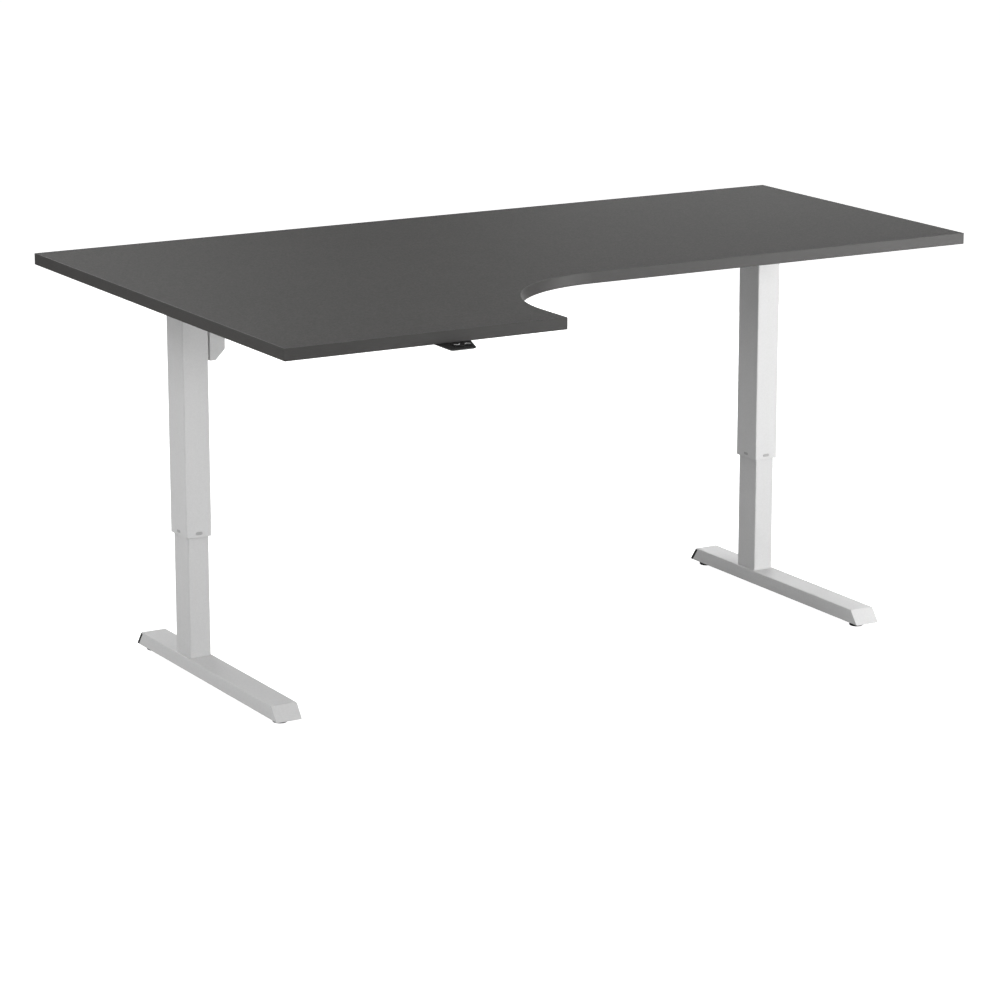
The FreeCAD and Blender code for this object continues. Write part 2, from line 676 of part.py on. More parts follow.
def gearbox_shell(side):
    """Whole gearbox before it is split at the shaft axis."""
    x = LEGS[side]
    half_x = GEARBOX_WIDTH / 2
    half_y = GEARBOX_DEPTH / 2
    shell = block(x - half_x, x + half_x, LEG_Y - half_y, LEG_Y + half_y, HEAD_Z, WEB_Z)
    plug_width = BORE_WIDTH - 2 * SLIP
    plug_depth = BORE_DEPTH - 2 * SLIP
    corner = TUBE_CORNER - 1
    shell = shell.fuse(rounded_prism(x, LEG_Y, plug_width, plug_depth, PLUG_BOTTOM, HEAD_Z, corner))
    room = CAVITY_HALF
    cavity = block(x - room, x + room, LEG_Y - room, LEG_Y + room, CAVITY_FLOOR, WEB_Z - 6)
    tools = [cavity]
    tools.append(rod(V(x, LEG_Y, PLUG_BOTTOM - 1), UP, BEARING_RADIUS, BEARING_TOP - PLUG_BOTTOM + 1))
    journal_room = CAVITY_FLOOR - BEARING_TOP + 2
    tools.append(rod(V(x, LEG_Y, BEARING_TOP - 1), UP, JOURNAL_RADIUS + 1.5, journal_room))
    blind = side == "right"
    hub_room = half_x - 3 if blind else half_x + 1
    tools.append(rod(V(x, LEG_Y, SHAFT_Z), RIGHT, HUB_RADIUS + RUN, hub_room))
    if blind:
        tools.append(rod(V(x, LEG_Y, SHAFT_Z), V(-1, 0, 0), SHAFT_FLATS / 2 + 2, half_x + 1))
    for at, direction in gearbox_bolt_points():
        tools.append(rod(at, direction, M6 + SLIP, 20))
    for at, direction in tube_screw_points():
        tools.append(rod(at, direction, M5 + SLIP, 13))
    return cut_all(shell, tools)


def make_gearbox_half(side, upper):
    """Base or cover of one gearbox."""
    x = LEGS[side]
    low, high = (SHAFT_Z, WEB_Z) if upper else (PLUG_BOTTOM, SHAFT_Z)
    around = GEARBOX_DEPTH
    half_space = block(x - around, x + around, LEG_Y - around, LEG_Y + around, low, high)
    return gearbox_shell(side).common(half_space)


# ---------------------------------------------------------------------------
# Motor beside the left leg.
# ---------------------------------------------------------------------------
MOTOR_FLANGE = 8.0
MOTOR_HEAD = 38.0
MOTOR_SHAFT_RADIUS = 4.0
BRACKET_REACH = 34.0
BRACKET_HEIGHT = 26.0


def make_motor_bracket():
    """Folded plate between the crossbeam sides that the motor hangs from."""
    x0 = -ARM_FACE + ARM_WALL + 0.5
    x1 = MOTOR_X + BRACKET_REACH
    half = BEAM_WIDTH / 2 - BEAM_WALL
    top = BRACKET_Z + BRACKET_HEIGHT
    bracket = block(x0, x1, LEG_Y - half, LEG_Y + half, BRACKET_Z, top)
    inner = half - BRACKET_WALL
    hollow = block(x0 - 1, x1 + 1, LEG_Y - inner, LEG_Y + inner, BRACKET_Z + BRACKET_WALL, top + 1)
    shaft_hole = MOTOR_SHAFT_RADIUS + 3
    tools = [hollow, rod(V(MOTOR_X, LEG_Y, BRACKET_Z - 1), UP, shaft_hole, BRACKET_WALL + 2)]
    for p in motor_screw_points():
        tools.append(rod(V(p.x, p.y, BRACKET_Z - 1), UP, M4 + SLIP, BRACKET_WALL + 2))
    for at, direction in bracket_screw_points():
        tools.append(rod(at, direction, M5 + SLIP, BEAM_WALL + BRACKET_WALL + 1))
    for at, direction in gearbox_bolt_points():
        tools.append(rod(at - direction * 8, direction, M6 * HEAD_SCALE + LOOSE, 9))
    return cut_all(bracket, tools)


def make_motor():
    """Motor can, gear head and square flange in one bought-in unit."""
    half_x = (HOUSING_REACH - HOUSING_NECK) / 2 - HOUSING_WALL - SLIP
    half_y = (HOUSING_DEPTH - 2 * HOUSING_WALL) / 2 - SLIP
    low = BRACKET_Z - MOTOR_FLANGE
    flange = rounded_prism(MOTOR_X, LEG_Y, 2 * half_x, 2 * half_y, low, BRACKET_Z, HOUSING_CORNER)
    head_low = low - MOTOR_HEAD
    head = rod(V(MOTOR_X, LEG_Y, head_low), UP, MOTOR_RADIUS, MOTOR_HEAD + 1)
    can_low = BRACKET_Z - MOTOR_LENGTH
    can = rod(V(MOTOR_X, LEG_Y, can_low), UP, MOTOR_RADIUS - 1.5, head_low + 1 - can_low)
    motor = flange.fuse(head).fuse(can)
    tools = [rod(V(MOTOR_X, LEG_Y, BRACKET_Z - 15), UP, MOTOR_SHAFT_RADIUS + RUN, 16)]
    tools += [rod(V(p.x, p.y, p.z - 9), UP, M4 + SLIP, 10) for p in motor_screw_points()]
    for at, direction in housing_screw_points():
        tools.append(rod(at, direction, M5 + SLIP, 9))
    return cut_all(motor, tools)


def make_motor_gear():
    """Output shaft of the motor with its bevel gear."""
    gear = bevel_gear(V(MOTOR_X, LEG_Y, SHAFT_Z), UP, 0.0, 0)
    low = BRACKET_Z - 14
    return gear.fuse(rod(V(MOTOR_X, LEG_Y, low), UP, MOTOR_SHAFT_RADIUS, SHAFT_Z - GEAR_BACK - low + 1))


def housing_body(x0, x1, depth, low, top, chamfer, corner):
    """Upright box with a chamfered lower corner and rounded upright edges on its free side."""
    y0 = LEG_Y - depth / 2
    points = [(x0, low), (x1 - chamfer, low), (x1, low + chamfer), (x1, top), (x0, top)]
    wire = Part.makePolygon([V(x, y0, z) for x, z in points + points[:1]])
    body = Part.Face(wire).extrude(V(0, depth, 0))
    outer = [e for e in body.Edges if abs(e.BoundBox.XMin - x1) < 1e-3]
    free = [e for e in outer if e.BoundBox.ZLength > chamfer]
    return body.makeFillet(corner, free)


def make_motor_housing():
    """Sheet cover round the motor, open at the top, with a narrower neck against the leg."""
    x0 = HOUSING_X0 + HOUSING_NECK
    w = HOUSING_WALL
    body = housing_body(
        x0, HOUSING_X1, HOUSING_DEPTH, HOUSING_BOTTOM, BRACKET_Z, HOUSING_CHAMFER, HOUSING_CORNER
    )
    inside = housing_body(
        x0 + w, HOUSING_X1 - w, HOUSING_DEPTH - 2 * w, HOUSING_BOTTOM + w, BRACKET_Z + 1,
        HOUSING_CHAMFER, HOUSING_CORNER - w,
    )
    half = HOUSING_DEPTH / 2 - NECK_INSET
    neck_low = HOUSING_BOTTOM + NECK_INSET
    neck = block(HOUSING_X0, x0, LEG_Y - half, LEG_Y + half, neck_low, BRACKET_Z)
    room = half - w
    neck_room = block(HOUSING_X0 - 1, x0, LEG_Y - room, LEG_Y + room, neck_low + w, BRACKET_Z + 1)
    tools = [inside]
    for at, direction in housing_screw_points():
        tools.append(rod(at - direction, direction, M5 + SLIP, w + 2))
    return cut_all(body, tools).fuse(neck.cut(neck_room)).removeSplitter()


# ---------------------------------------------------------------------------
# Control box.
# ---------------------------------------------------------------------------
SOCKET_WIDTH = 20.0
SOCKET_HEIGHT = 14.0
SOCKET_OFFSETS = (-72.0, -36.0, 0.0, 48.0)


def socket_xs():
    """Sockets along the back of the control box."""
    cx = box_centre()[0]
    return [cx + offset for offset in SOCKET_OFFSETS]


def make_control_box():
    """Plastic tray, open towards the work surface, with four screw ears."""
    cx, cy = box_centre()
    low = UNDERSIDE - BOX_HEIGHT
    tray = rounded_prism(cx, cy, BOX_WIDTH, BOX_DEPTH, low, UNDERSIDE, 6.0)
    low_rim = [e for e in tray.Edges if abs(e.BoundBox.ZMax - low) < 1e-3]
    tray = tray.makeFillet(3.0, low_rim)
    inside = rounded_prism(
        cx, cy, BOX_WIDTH - 2 * BOX_WALL, BOX_DEPTH - 2 * BOX_WALL, low + BOX_WALL, UNDERSIDE + 1, 4.0
    )
    for x, y in box_screws():
        half = EAR / 2
        ear_low = UNDERSIDE - BOX_WALL
        tray = tray.fuse(block(x - half - 1, x + half + 1, y - half, y + half, ear_low, UNDERSIDE))
    tools = [inside]
    for x, y in box_screws():
        tools.append(rod(V(x, y, UNDERSIDE - BOX_WALL - 1), UP, WOOD_SCREW + LOOSE, BOX_WALL + 2))
    for x in socket_xs():
        tools.append(socket_block(x, 0))
    return cut_all(tray.removeSplitter(), tools)


def socket_block(x, shrink):
    """Outline of one socket through the back wall of the control box."""
    back = box_centre()[1] + BOX_DEPTH / 2
    z = UNDERSIDE - BOX_HEIGHT / 2
    half = SOCKET_WIDTH / 2 - shrink
    tall = SOCKET_HEIGHT / 2 - shrink
    return block(x - half, x + half, back - 18, back + 1.0, z - tall, z + tall)


def make_control_sockets():
    """Four recessed sockets for the leads of the mains, the motor and the handset."""
    back = box_centre()[1] + BOX_DEPTH / 2
    z = UNDERSIDE - BOX_HEIGHT / 2
    sockets = []
    for x in socket_xs():
        body = socket_block(x, GUIDE)
        mouth = block(x - 7, x + 7, back - 12, back + 2, z - 4, z + 4)
        pins = [rod(V(x + dx, back - 13, z), BACK, 0.8, 8) for dx in (-4, 0, 4)]
        sockets.append(body.cut(mouth).fuse(Part.makeCompound(pins)).Solids[0])
    return Part.makeCompound(sockets)


def make_control_board():
    """Circuit board with its two largest parts, resting on the tray floor."""
    cx, cy = box_centre()
    low = UNDERSIDE - BOX_HEIGHT + BOX_WALL
    half_x = BOX_WIDTH / 2 - 8
    front = cy - BOX_DEPTH / 2 + 8
    back = cy + BOX_DEPTH / 2 - 22
    board = block(cx - half_x, cx + half_x, front, back, low + 4, low + 5.6)
    for dx in (-half_x + 6, half_x - 6):
        for y in (front + 6, back - 6):
            board = board.fuse(rod(V(cx + dx, y, low), UP, 3.0, 4.5))
    board = board.fuse(block(cx - 70, cx - 20, cy - 30, cy + 12, low + 5, low + 28))
    return board.fuse(rod(V(cx + 30, cy - 12, low + 5), UP, 11.0, 23)).removeSplitter()


# ---------------------------------------------------------------------------
# Handset.
# ---------------------------------------------------------------------------
HANDSET_X = -TOP_WIDTH / 2 + HANDSET_FROM_LEFT
FACE_ANGLE = math.atan2(HANDSET_DROP, HANDSET_REACH)
FACE_NORMAL = V(0, -math.sin(FACE_ANGLE), math.cos(FACE_ANGLE))


def key_placement(name):
    """Frame of one key on the sloping face."""
    x = HANDSET_X + BUTTON_OFFSETS[name]
    centre = V(x, FRONT_Y - BUTTON_REACH, UNDERSIDE - BUTTON_REACH * math.tan(FACE_ANGLE))
    return FreeCAD.Placement(centre, FreeCAD.Rotation(RIGHT, math.degrees(FACE_ANGLE)))


def button_prism(name, low, high, shrink):
    """Rounded key outline between two distances from the sloping face."""
    width = BUTTON_WIDTHS[name] - 2 * shrink
    length = BUTTON_LENGTH - 2 * shrink
    body = rounded_prism(0, 0, width, length, low, high, 2.5 - shrink)
    body.Placement = key_placement(name)
    return body


def make_handset_body():
    """Wedge that slopes towards the user, bevelled underneath on its left."""
    edge = V(HANDSET_X, FRONT_Y, UNDERSIDE)
    tip_z = UNDERSIDE - HANDSET_DROP
    low = UNDERSIDE - HANDSET_DEPTH
    side = [
        (FRONT_Y + HANDSET_BEHIND, UNDERSIDE),
        (FRONT_Y, UNDERSIDE),
        (FRONT_Y - HANDSET_REACH, tip_z),
        (FRONT_Y - HANDSET_REACH, tip_z - HANDSET_LIP),
        (FRONT_Y - HANDSET_REACH * 0.45, low),
        (FRONT_Y + HANDSET_BEHIND, low),
    ]
    body = profile_x(side, HANDSET_X - HANDSET_HALF_EDGE, HANDSET_X + HANDSET_HALF_EDGE)
    plan = [
        V(-HANDSET_HALF_EDGE, HANDSET_BEHIND, 0),
        V(-HANDSET_HALF_EDGE, 0, 0),
        V(-HANDSET_HALF_FRONT, -HANDSET_REACH, 0),
        V(HANDSET_HALF_FRONT, -HANDSET_REACH, 0),
        V(HANDSET_HALF_EDGE, 0, 0),
        V(HANDSET_HALF_EDGE, HANDSET_BEHIND, 0),
    ]
    outline = Part.Face(Part.makePolygon(plan + plan[:1])).extrude(V(0, 0, 60))
    outline.translate(edge - V(0, 0, 50))
    body = body.common(outline)
    rim = edge + V(-HANDSET_HALF_EDGE, 0, -HANDSET_RIM)
    tip_below_rim = HANDSET_DROP + HANDSET_LIP + 0.4 - HANDSET_RIM
    along = V(HANDSET_HALF_EDGE - HANDSET_HALF_FRONT, -HANDSET_REACH, -tip_below_rim)
    start = rim - along * 1.5
    bevel = [start, start + V(HANDSET_BEVEL * 40, 0, -40), start + V(HANDSET_BEVEL * 40, 0, -80)]
    bevel += [start + V(-20, 0, -80), start + V(-20, 0, 0)]
    body = body.cut(Part.Face(Part.makePolygon(bevel + bevel[:1])).extrude(along * 3))
    tools = [button_prism(name, -6.0, 3.0, 0) for name in BUTTON_OFFSETS]
    for x, y in handset_screws():
        head_room = HANDSET_DEPTH - HANDSET_SEAT + 1
        tools.append(rod(V(x, y, low - 1), UP, WOOD_SCREW * HEAD_SCALE + LOOSE, head_room))
        tools.append(rod(V(x, y, low - 1), UP, WOOD_SCREW + LOOSE, HANDSET_DEPTH + 2))
    return cut_all(body, tools)


def make_button(name):
    """One key with a raised chevron that points the way the desk moves."""
    key = button_prism(name, -4.5, BUTTON_PROUD, SLIP)
    point = 1 if name == "up" else -1
    half = CHEVRON_RISE / 2
    thick = CHEVRON_BAR
    outline = [
        V(-CHEVRON_HALF_WIDTH, -half, 0),
        V(0, half, 0),
        V(CHEVRON_HALF_WIDTH, -half, 0),
        V(CHEVRON_HALF_WIDTH, -half - thick, 0),
        V(0, half - thick, 0),
        V(-CHEVRON_HALF_WIDTH, -half - thick, 0),
    ]
    corners = [V(c.x, (c.y + thick / 2) * point, BUTTON_PROUD - 0.2) for c in outline]
    mark = Part.Face(Part.makePolygon(corners + corners[:1])).extrude(V(0, 0, 0.5))
    mark.Placement = key_placement(name)
    return key.fuse(mark).removeSplitter()


# ---------------------------------------------------------------------------
# Feet.
# ---------------------------------------------------------------------------
def foot_outline(front, rear, low, high):
    """Side outline with both ends leaning outwards towards the floor."""
    lean = FOOT_SLANT / FOOT_HEIGHT
    front_low = front + lean * (low - FOOT_BOTTOM)
    front_high = front + lean * (high - FOOT_BOTTOM)
    rear_low = rear - lean * (low - FOOT_BOTTOM)
    rear_high = rear - lean * (high - FOOT_BOTTOM)
    return [(front_low, low), (front_high, high), (rear_high, high), (rear_low, low)]


def bend_long_edges(body):
    """Round the edges that run along the foot."""
    edges = [e for e in body.Edges if abs(e.tangentAt(e.FirstParameter).y) > 0.99]
    return body.makeFillet(FOOT_BEND, edges)


def foot_ends():
    """Front end, end of the steel and rear end, measured at the foot's underside."""
    slope = math.hypot(FOOT_SLANT, FOOT_HEIGHT) / FOOT_HEIGHT
    front = LEG_Y - FOOT_FORWARD
    rear = LEG_Y + FOOT_REARWARD
    return front, rear - CAP_THICKNESS * slope, rear, slope


def make_foot(x):
    """Folded steel foot, closed in front and open at the rear, its top run on over the cap."""
    front, steel_end, rear, slope = foot_ends()
    half = FOOT_WIDTH / 2
    lean = FOOT_SLANT / FOOT_HEIGHT
    outside = foot_outline(front, rear, FOOT_BOTTOM, FOOT_TOP)
    body = bend_long_edges(profile_x(outside, x - half, x + half))
    w = FOOT_WALL
    inside_front = front + w * (slope + lean)
    inside = foot_outline(inside_front, rear + 40, FOOT_BOTTOM + w, FOOT_TOP - w)
    hollow = profile_x(inside, x - half + w, x + half - w)
    cap_space = [(steel_end + lean, FOOT_BOTTOM - 1), (rear + 40, FOOT_BOTTOM - 1)]
    cap_space += [(rear + 40, FOOT_TOP - w), (steel_end - lean * (FOOT_HEIGHT - w), FOOT_TOP - w)]
    tools = [hollow, profile_x(cap_space, x - half - 1, x + half + 1)]
    for p in foot_bolt_points(x):
        tools.append(rod(V(p.x, p.y, p.z - 1), UP, M8 + SLIP, FOOT_WALL + 2))
        tools.append(rod(V(p.x, p.y, FOOT_BOTTOM - 1), UP, M8 * HEAD_SCALE + 2, FOOT_WALL + 2))
    for y in pad_ys().values():
        tools.append(rod(V(x, y, FOOT_BOTTOM - 1), UP, M8 + LOOSE, FOOT_WALL + 2))
    return cut_all(body, tools)


def make_rear_cap(x):
    """Plastic cap under the end of the foot's top, its plug kept clear of the rear glide."""
    front, steel_end, rear, slope = foot_ends()
    lean = FOOT_SLANT / FOOT_HEIGHT
    half = FOOT_WIDTH / 2
    top_shift = lean * FOOT_HEIGHT
    face = [(steel_end, FOOT_BOTTOM), (steel_end - top_shift, FOOT_TOP)]
    face += [(rear - top_shift, FOOT_TOP), (rear, FOOT_BOTTOM)]
    cap = bend_long_edges(profile_x(face, x - half, x + half))
    roof = [(rear - 60, FOOT_TOP - FOOT_WALL), (rear + 10, FOOT_TOP - FOOT_WALL)]
    roof += [(rear + 10, FOOT_TOP + 1), (rear - 60, FOOT_TOP + 1)]
    cap = cap.cut(profile_x(roof, x - half - 1, x + half + 1))
    w = FOOT_WALL + SLIP
    low = FOOT_BOTTOM + w
    high = FOOT_TOP - w
    low_end = steel_end - lean * w + 1
    high_end = steel_end - lean * (FOOT_HEIGHT - w) + 1
    plug_points = [(low_end, low), (high_end, high)]
    plug_points += [(high_end - CAP_PLUG, high), (low_end - CAP_PLUG, low)]
    plug = profile_x(plug_points, x - half + w, x + half - w)
    pocket_top = FOOT_BOTTOM + STEM_ABOVE + 1
    nut_corner = GLIDE_NUT_FLATS / math.sqrt(3)
    pocket = rod(V(x, pad_ys()["rear"], low - 1), UP, nut_corner + 1, pocket_top - low + 1)
    return cap.fuse(plug).removeSplitter().cut(pocket)


def make_glide_nuts():
    """Nuts welded inside both feet over the glide holes."""
    low = FOOT_BOTTOM + FOOT_WALL
    nuts = []
    for x in LEGS.values():
        for y in pad_ys().values():
            nut = hexagon(V(x, y, low), UP, GLIDE_NUT_FLATS, GLIDE_NUT_HEIGHT)
            nuts.append(nut.cut(rod(V(x, y, low - 1), UP, M8 + RUN, 10)))
    return Part.makeCompound(nuts)


STEM_SEAT = 3.0
STEM_ABOVE = 15.0


def make_glide_pad(x, y):
    """Round plastic glide with a socket for its stem."""
    top = PAD_HEIGHT - 0.5
    outline = [(0, 0), (PAD_RADIUS - 1.5, 0), (PAD_RADIUS, 1.5), (PAD_RADIUS, 6.5)]
    outline += [(PAD_RADIUS - 6, top), (0, top)]
    wire = Part.makePolygon([V(r, 0, z) for r, z in outline + outline[:1]])
    pad = Part.Face(wire).revolve(V(0, 0, 0), UP, 360)
    pad.translate(V(x, y, 0))
    return pad.cut(rod(V(x, y, STEM_SEAT), UP, M8 + SLIP, PAD_HEIGHT))


def make_glide_stem(x, y):
    """Threaded stem of one glide; the thread is left plain."""
    top = FOOT_BOTTOM + STEM_ABOVE
    stem = rod(V(x, y, STEM_SEAT), UP, M8, top - STEM_SEAT)
    rim = [e for e in stem.Edges if e.Closed and abs(e.BoundBox.ZMin - top) < 1e-3]
    return stem.makeChamfer(0.8, rim)


# ---------------------------------------------------------------------------
# Fastener groups.
# ---------------------------------------------------------------------------
def make_wood_screws():
    """Screws into the work surface."""
    screws = []
    for x, y, seat in wood_screw_seats():
        screws.append(bolt(V(x, y, seat), UP, WOOD_SCREW, UNDERSIDE - seat + WOOD_BITE - 1))
    return Part.makeCompound(screws)


def make_gearbox_bolts():
    """Bolts through the arms, and through the crossbeam ends, into the gearboxes."""
    bolts = []
    for at, direction in gearbox_bolt_points():
        outer = abs(at.x) > LEG_X
        grip = ARM_WALL if outer else 2 * ARM_WALL
        bolts.append(bolt(at, direction, M6, grip + GEARBOX_WALL_CLEAR + 9))
    return Part.makeCompound(bolts)


def make_frame_screws():
    """Equal screws that hold tubes, motor bracket and motor housing."""
    points = tube_screw_points() + bracket_screw_points() + housing_screw_points()
    return Part.makeCompound([bolt(at, direction, M5, 7.0) for at, direction in points])


def make_motor_screws():
    """Screws from the bracket into the motor flange."""
    return Part.makeCompound([bolt(at, DOWN, M4, 9.0) for at in motor_screw_points()])


def make_foot_bolts():
    """Bolts that hold both feet to the base plates."""
    points = foot_bolt_points(-LEG_X) + foot_bolt_points(LEG_X)
    return Part.makeCompound([bolt(at, UP, M8, FOOT_WALL + BASE_PLATE - 1) for at in points])


# ---------------------------------------------------------------------------
# Build every node.
# ---------------------------------------------------------------------------
def build():
    """Write one STEP file for each node."""
    save("tabletop", make_tabletop())
    save("edge_band", make_edge_band())
    save("crossbeam", make_crossbeam())
    for side, x in LEGS.items():
        save("side_arm_" + side, make_side_arm(side))
        save("outer_tube_" + side, make_outer_tube(x))
        save("lower_guide_" + side, make_lower_guide(x))
        save("inner_tube_" + side, make_inner_tube(x))
        save("upper_guide_" + side, make_upper_guide(x))
        save("base_plate_" + side, make_base_plate(x))
        save("push_tube_" + side, make_push_tube(x))
        save("spindle_nut_" + side, make_spindle_nut(x))
        save("spindle_" + side, make_spindle(x))
        save("spindle_gear_" + side, make_spindle_gear(x))
        save("thrust_bearing_" + side, make_thrust_bearing(x))
        save("gearbox_base_" + side, make_gearbox_half(side, False))
        save("gearbox_cover_" + side, make_gearbox_half(side, True))
        save("foot_" + side, make_foot(x))
        save("rear_cap_" + side, make_rear_cap(x))
        for end, y in pad_ys().items():
            save("glide_pad_" + side + "_" + end, make_glide_pad(x, y))
            save("glide_stem_" + side + "_" + end, make_glide_stem(x, y))
    save("hex_shaft", make_hex_shaft())
    save("shaft_gears", make_shaft_gears())
    save("motor_bracket", make_motor_bracket())
    save("motor", make_motor())
    save("motor_gear", make_motor_gear())
    save("motor_housing", make_motor_housing())
    save("control_box", make_control_box())
    save("control_sockets", make_control_sockets())
    save("control_board", make_control_board())
    save("handset_body", make_handset_body())
    for name in BUTTON_OFFSETS:
        save("button_" + name, make_button(name))
    save("glide_nuts", make_glide_nuts())
    save("wood_screws", make_wood_screws())
    save("gearbox_bolts", make_gearbox_bolts())
    save("frame_screws", make_frame_screws())
    save("motor_screws", make_motor_screws())
    save("foot_bolts", make_foot_bolts())


build()
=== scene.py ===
# %% [markdown]
# # A height adjustable standing desk
# The desk has an L-shaped laminate top on two telescopic legs. A motor beside the left leg
# turns a cross shaft, and the shaft turns a screw spindle inside each leg. All hard parts
# were drawn in CAD, so this lesson is about light, camera and surface finish. A few small
# pieces that look better as hand-made meshes, such as screw threads, are made here.
# We load the CAD parts first, because every later step asks them where things are.

import math

import bmesh
import bpy
from mathutils import Matrix, Vector


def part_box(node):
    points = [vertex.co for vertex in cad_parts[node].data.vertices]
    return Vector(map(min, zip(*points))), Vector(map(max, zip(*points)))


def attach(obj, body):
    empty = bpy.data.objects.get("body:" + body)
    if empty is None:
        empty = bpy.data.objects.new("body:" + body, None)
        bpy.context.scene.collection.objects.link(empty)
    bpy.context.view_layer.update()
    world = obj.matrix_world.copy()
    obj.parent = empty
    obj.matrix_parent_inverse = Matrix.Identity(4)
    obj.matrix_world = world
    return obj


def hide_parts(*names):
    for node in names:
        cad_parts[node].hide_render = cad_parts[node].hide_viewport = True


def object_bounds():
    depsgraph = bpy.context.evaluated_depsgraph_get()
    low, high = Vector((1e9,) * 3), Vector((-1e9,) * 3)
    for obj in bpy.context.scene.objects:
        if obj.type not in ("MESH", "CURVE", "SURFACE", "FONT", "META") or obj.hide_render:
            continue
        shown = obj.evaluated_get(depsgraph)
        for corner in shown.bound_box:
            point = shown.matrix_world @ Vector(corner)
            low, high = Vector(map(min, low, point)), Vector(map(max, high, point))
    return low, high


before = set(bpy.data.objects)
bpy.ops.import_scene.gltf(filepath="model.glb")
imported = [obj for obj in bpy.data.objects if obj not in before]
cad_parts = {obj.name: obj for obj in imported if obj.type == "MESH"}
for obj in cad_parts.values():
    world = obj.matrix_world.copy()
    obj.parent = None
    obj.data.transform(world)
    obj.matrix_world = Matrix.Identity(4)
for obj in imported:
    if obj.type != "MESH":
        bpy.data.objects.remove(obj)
cad_low, cad_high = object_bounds()
MM = 0.001
desk_size = cad_high - cad_low
print("desk size in metres:", [round(side, 3) for side in desk_size])

# %% [markdown]
# ## The camera
# Furniture is best shown from far away with a long lens, because upright lines then stay
# almost parallel. The camera stands well above the board and looks down at the middle of the
# desk. A shifted lens would hold upright lines exactly parallel, but the desk would then
# leave the frame when the camera goes round it, so this lens isn't shifted.

# %% Set up the camera
CAMERA_PLACE = Vector((-3.9537, -6.5753, 2.2598))
CAMERA_TURN = 30.0891
CAMERA_DIP = 13.8950
FOCAL_LENGTH = 130.214
FILM_WIDTH = 36.0
FARTHEST_SEEN = 200.0
lens = bpy.data.cameras.new("long_lens")
lens.sensor_fit = "HORIZONTAL"
lens.sensor_width = FILM_WIDTH
lens.lens = FOCAL_LENGTH
lens.clip_end = FARTHEST_SEEN
camera = bpy.data.objects.new("camera", lens)
camera.location = CAMERA_PLACE
camera.rotation_euler = (math.radians(90 - CAMERA_DIP), 0, -math.radians(CAMERA_TURN))
bpy.context.scene.collection.objects.link(camera)
bpy.context.scene.camera = camera
print("lens:", lens.lens, "mm, metres from the desk:", round(CAMERA_PLACE.length, 2))

# %% [markdown]
# ## Helpers for nodes
# Every material below is a small network of nodes. Making a node takes three lines each
# time: create it, set its values, connect it. One helper does all three, so that the
# material cells can be read like a recipe. A value that is a socket gets linked, and any
# other value is typed into the field.

# %% Node helpers
def add_node(tree, kind, values=None, **settings):
    """Adds a node to a tree, with its settings and what goes into its sockets."""
    node = tree.nodes.new(kind)
    for name, setting in settings.items():
        setattr(node, name, setting)
    for place, value in (values or {}).items():
        socket = node.inputs[place]
        if isinstance(value, bpy.types.NodeSocket):
            tree.links.new(value, socket)
        else:
            socket.default_value = value
    return node


def sum_up(tree, operation, first, second):
    """One Math node, and its result."""
    node = add_node(tree, "ShaderNodeMath", {0: first, 1: second}, operation=operation)
    return node.outputs[0]


def between(tree, mask, low, high):
    """A number that runs from low to high as the mask runs from 0 to 1."""
    values = {"Value": mask, "To Min": low, "To Max": high}
    return add_node(tree, "ShaderNodeMapRange", values).outputs["Result"]


MIX_COLOUR_A, MIX_COLOUR_B, MIX_COLOUR_OUT = 6, 7, 2


def blend_colours(tree, mask, first, second):
    """A colour that runs from the first to the second as the mask runs from 0 to 1."""
    values = {0: mask, MIX_COLOUR_A: first, MIX_COLOUR_B: second}
    return add_node(tree, "ShaderNodeMix", values, data_type="RGBA").outputs[MIX_COLOUR_OUT]


def start_group(name, inputs, outputs):
    """A new node group. Gives its tree, its input sockets and its output sockets."""
    tree = bpy.data.node_groups.new(name, "ShaderNodeTree")
    for label, kind, value in inputs:
        made = tree.interface.new_socket(label, in_out="INPUT", socket_type="NodeSocket" + kind)
        made.default_value = value
    for label, kind in outputs:
        tree.interface.new_socket(label, in_out="OUTPUT", socket_type="NodeSocket" + kind)
    entry = tree.nodes.new("NodeGroupInput")
    outlet = tree.nodes.new("NodeGroupOutput")
    print("group:", name, "->", ", ".join(label for label, kind in outputs))
    return tree, entry.outputs, outlet.inputs


def use_group(tree, group, **values):
    """Places a group in a material. An underscore in a name stands for a space."""
    node = tree.nodes.new("ShaderNodeGroup")
    node.node_tree = group
    for name, value in values.items():
        node.inputs[name.replace("_", " ")].default_value = value
    return node.outputs


# %% [markdown]
# ## Shared effect: grain
# Real surfaces are never one even colour. The cheapest way to break them up is noise that
# is fixed to the part, in real metres, so that it has the same size on a screw and on a
# table top. A stretch makes streaks out of the same noise: brushed steel is grain that is
# forty times longer one way than the other.

# %% Build the grain group
NOISE_RANGE = {"From Min": 0.32, "From Max": 0.68}
grain, grain_in, grain_out = start_group(
    "grain",
    [("Size", "Float", 1 * MM), ("Stretch", "Vector", (1, 1, 1)), ("Detail", "Float", 3.0)],
    [("Mask", "Float")],
)
place = add_node(grain, "ShaderNodeTexCoord").outputs["Object"]
stretched = add_node(
    grain, "ShaderNodeVectorMath", {0: place, 1: grain_in["Stretch"]}, operation="MULTIPLY"
).outputs[0]
per_metre = sum_up(grain, "DIVIDE", 1.0, grain_in["Size"])
noise = add_node(
    grain,
    "ShaderNodeTexNoise",
    {"Vector": stretched, "Scale": per_metre, "Detail": grain_in["Detail"], "Roughness": 0.6},
)
spread = add_node(grain, "ShaderNodeMapRange", {"Value": noise.outputs[0], **NOISE_RANGE})
grain.links.new(spread.outputs["Result"], grain_out["Mask"])

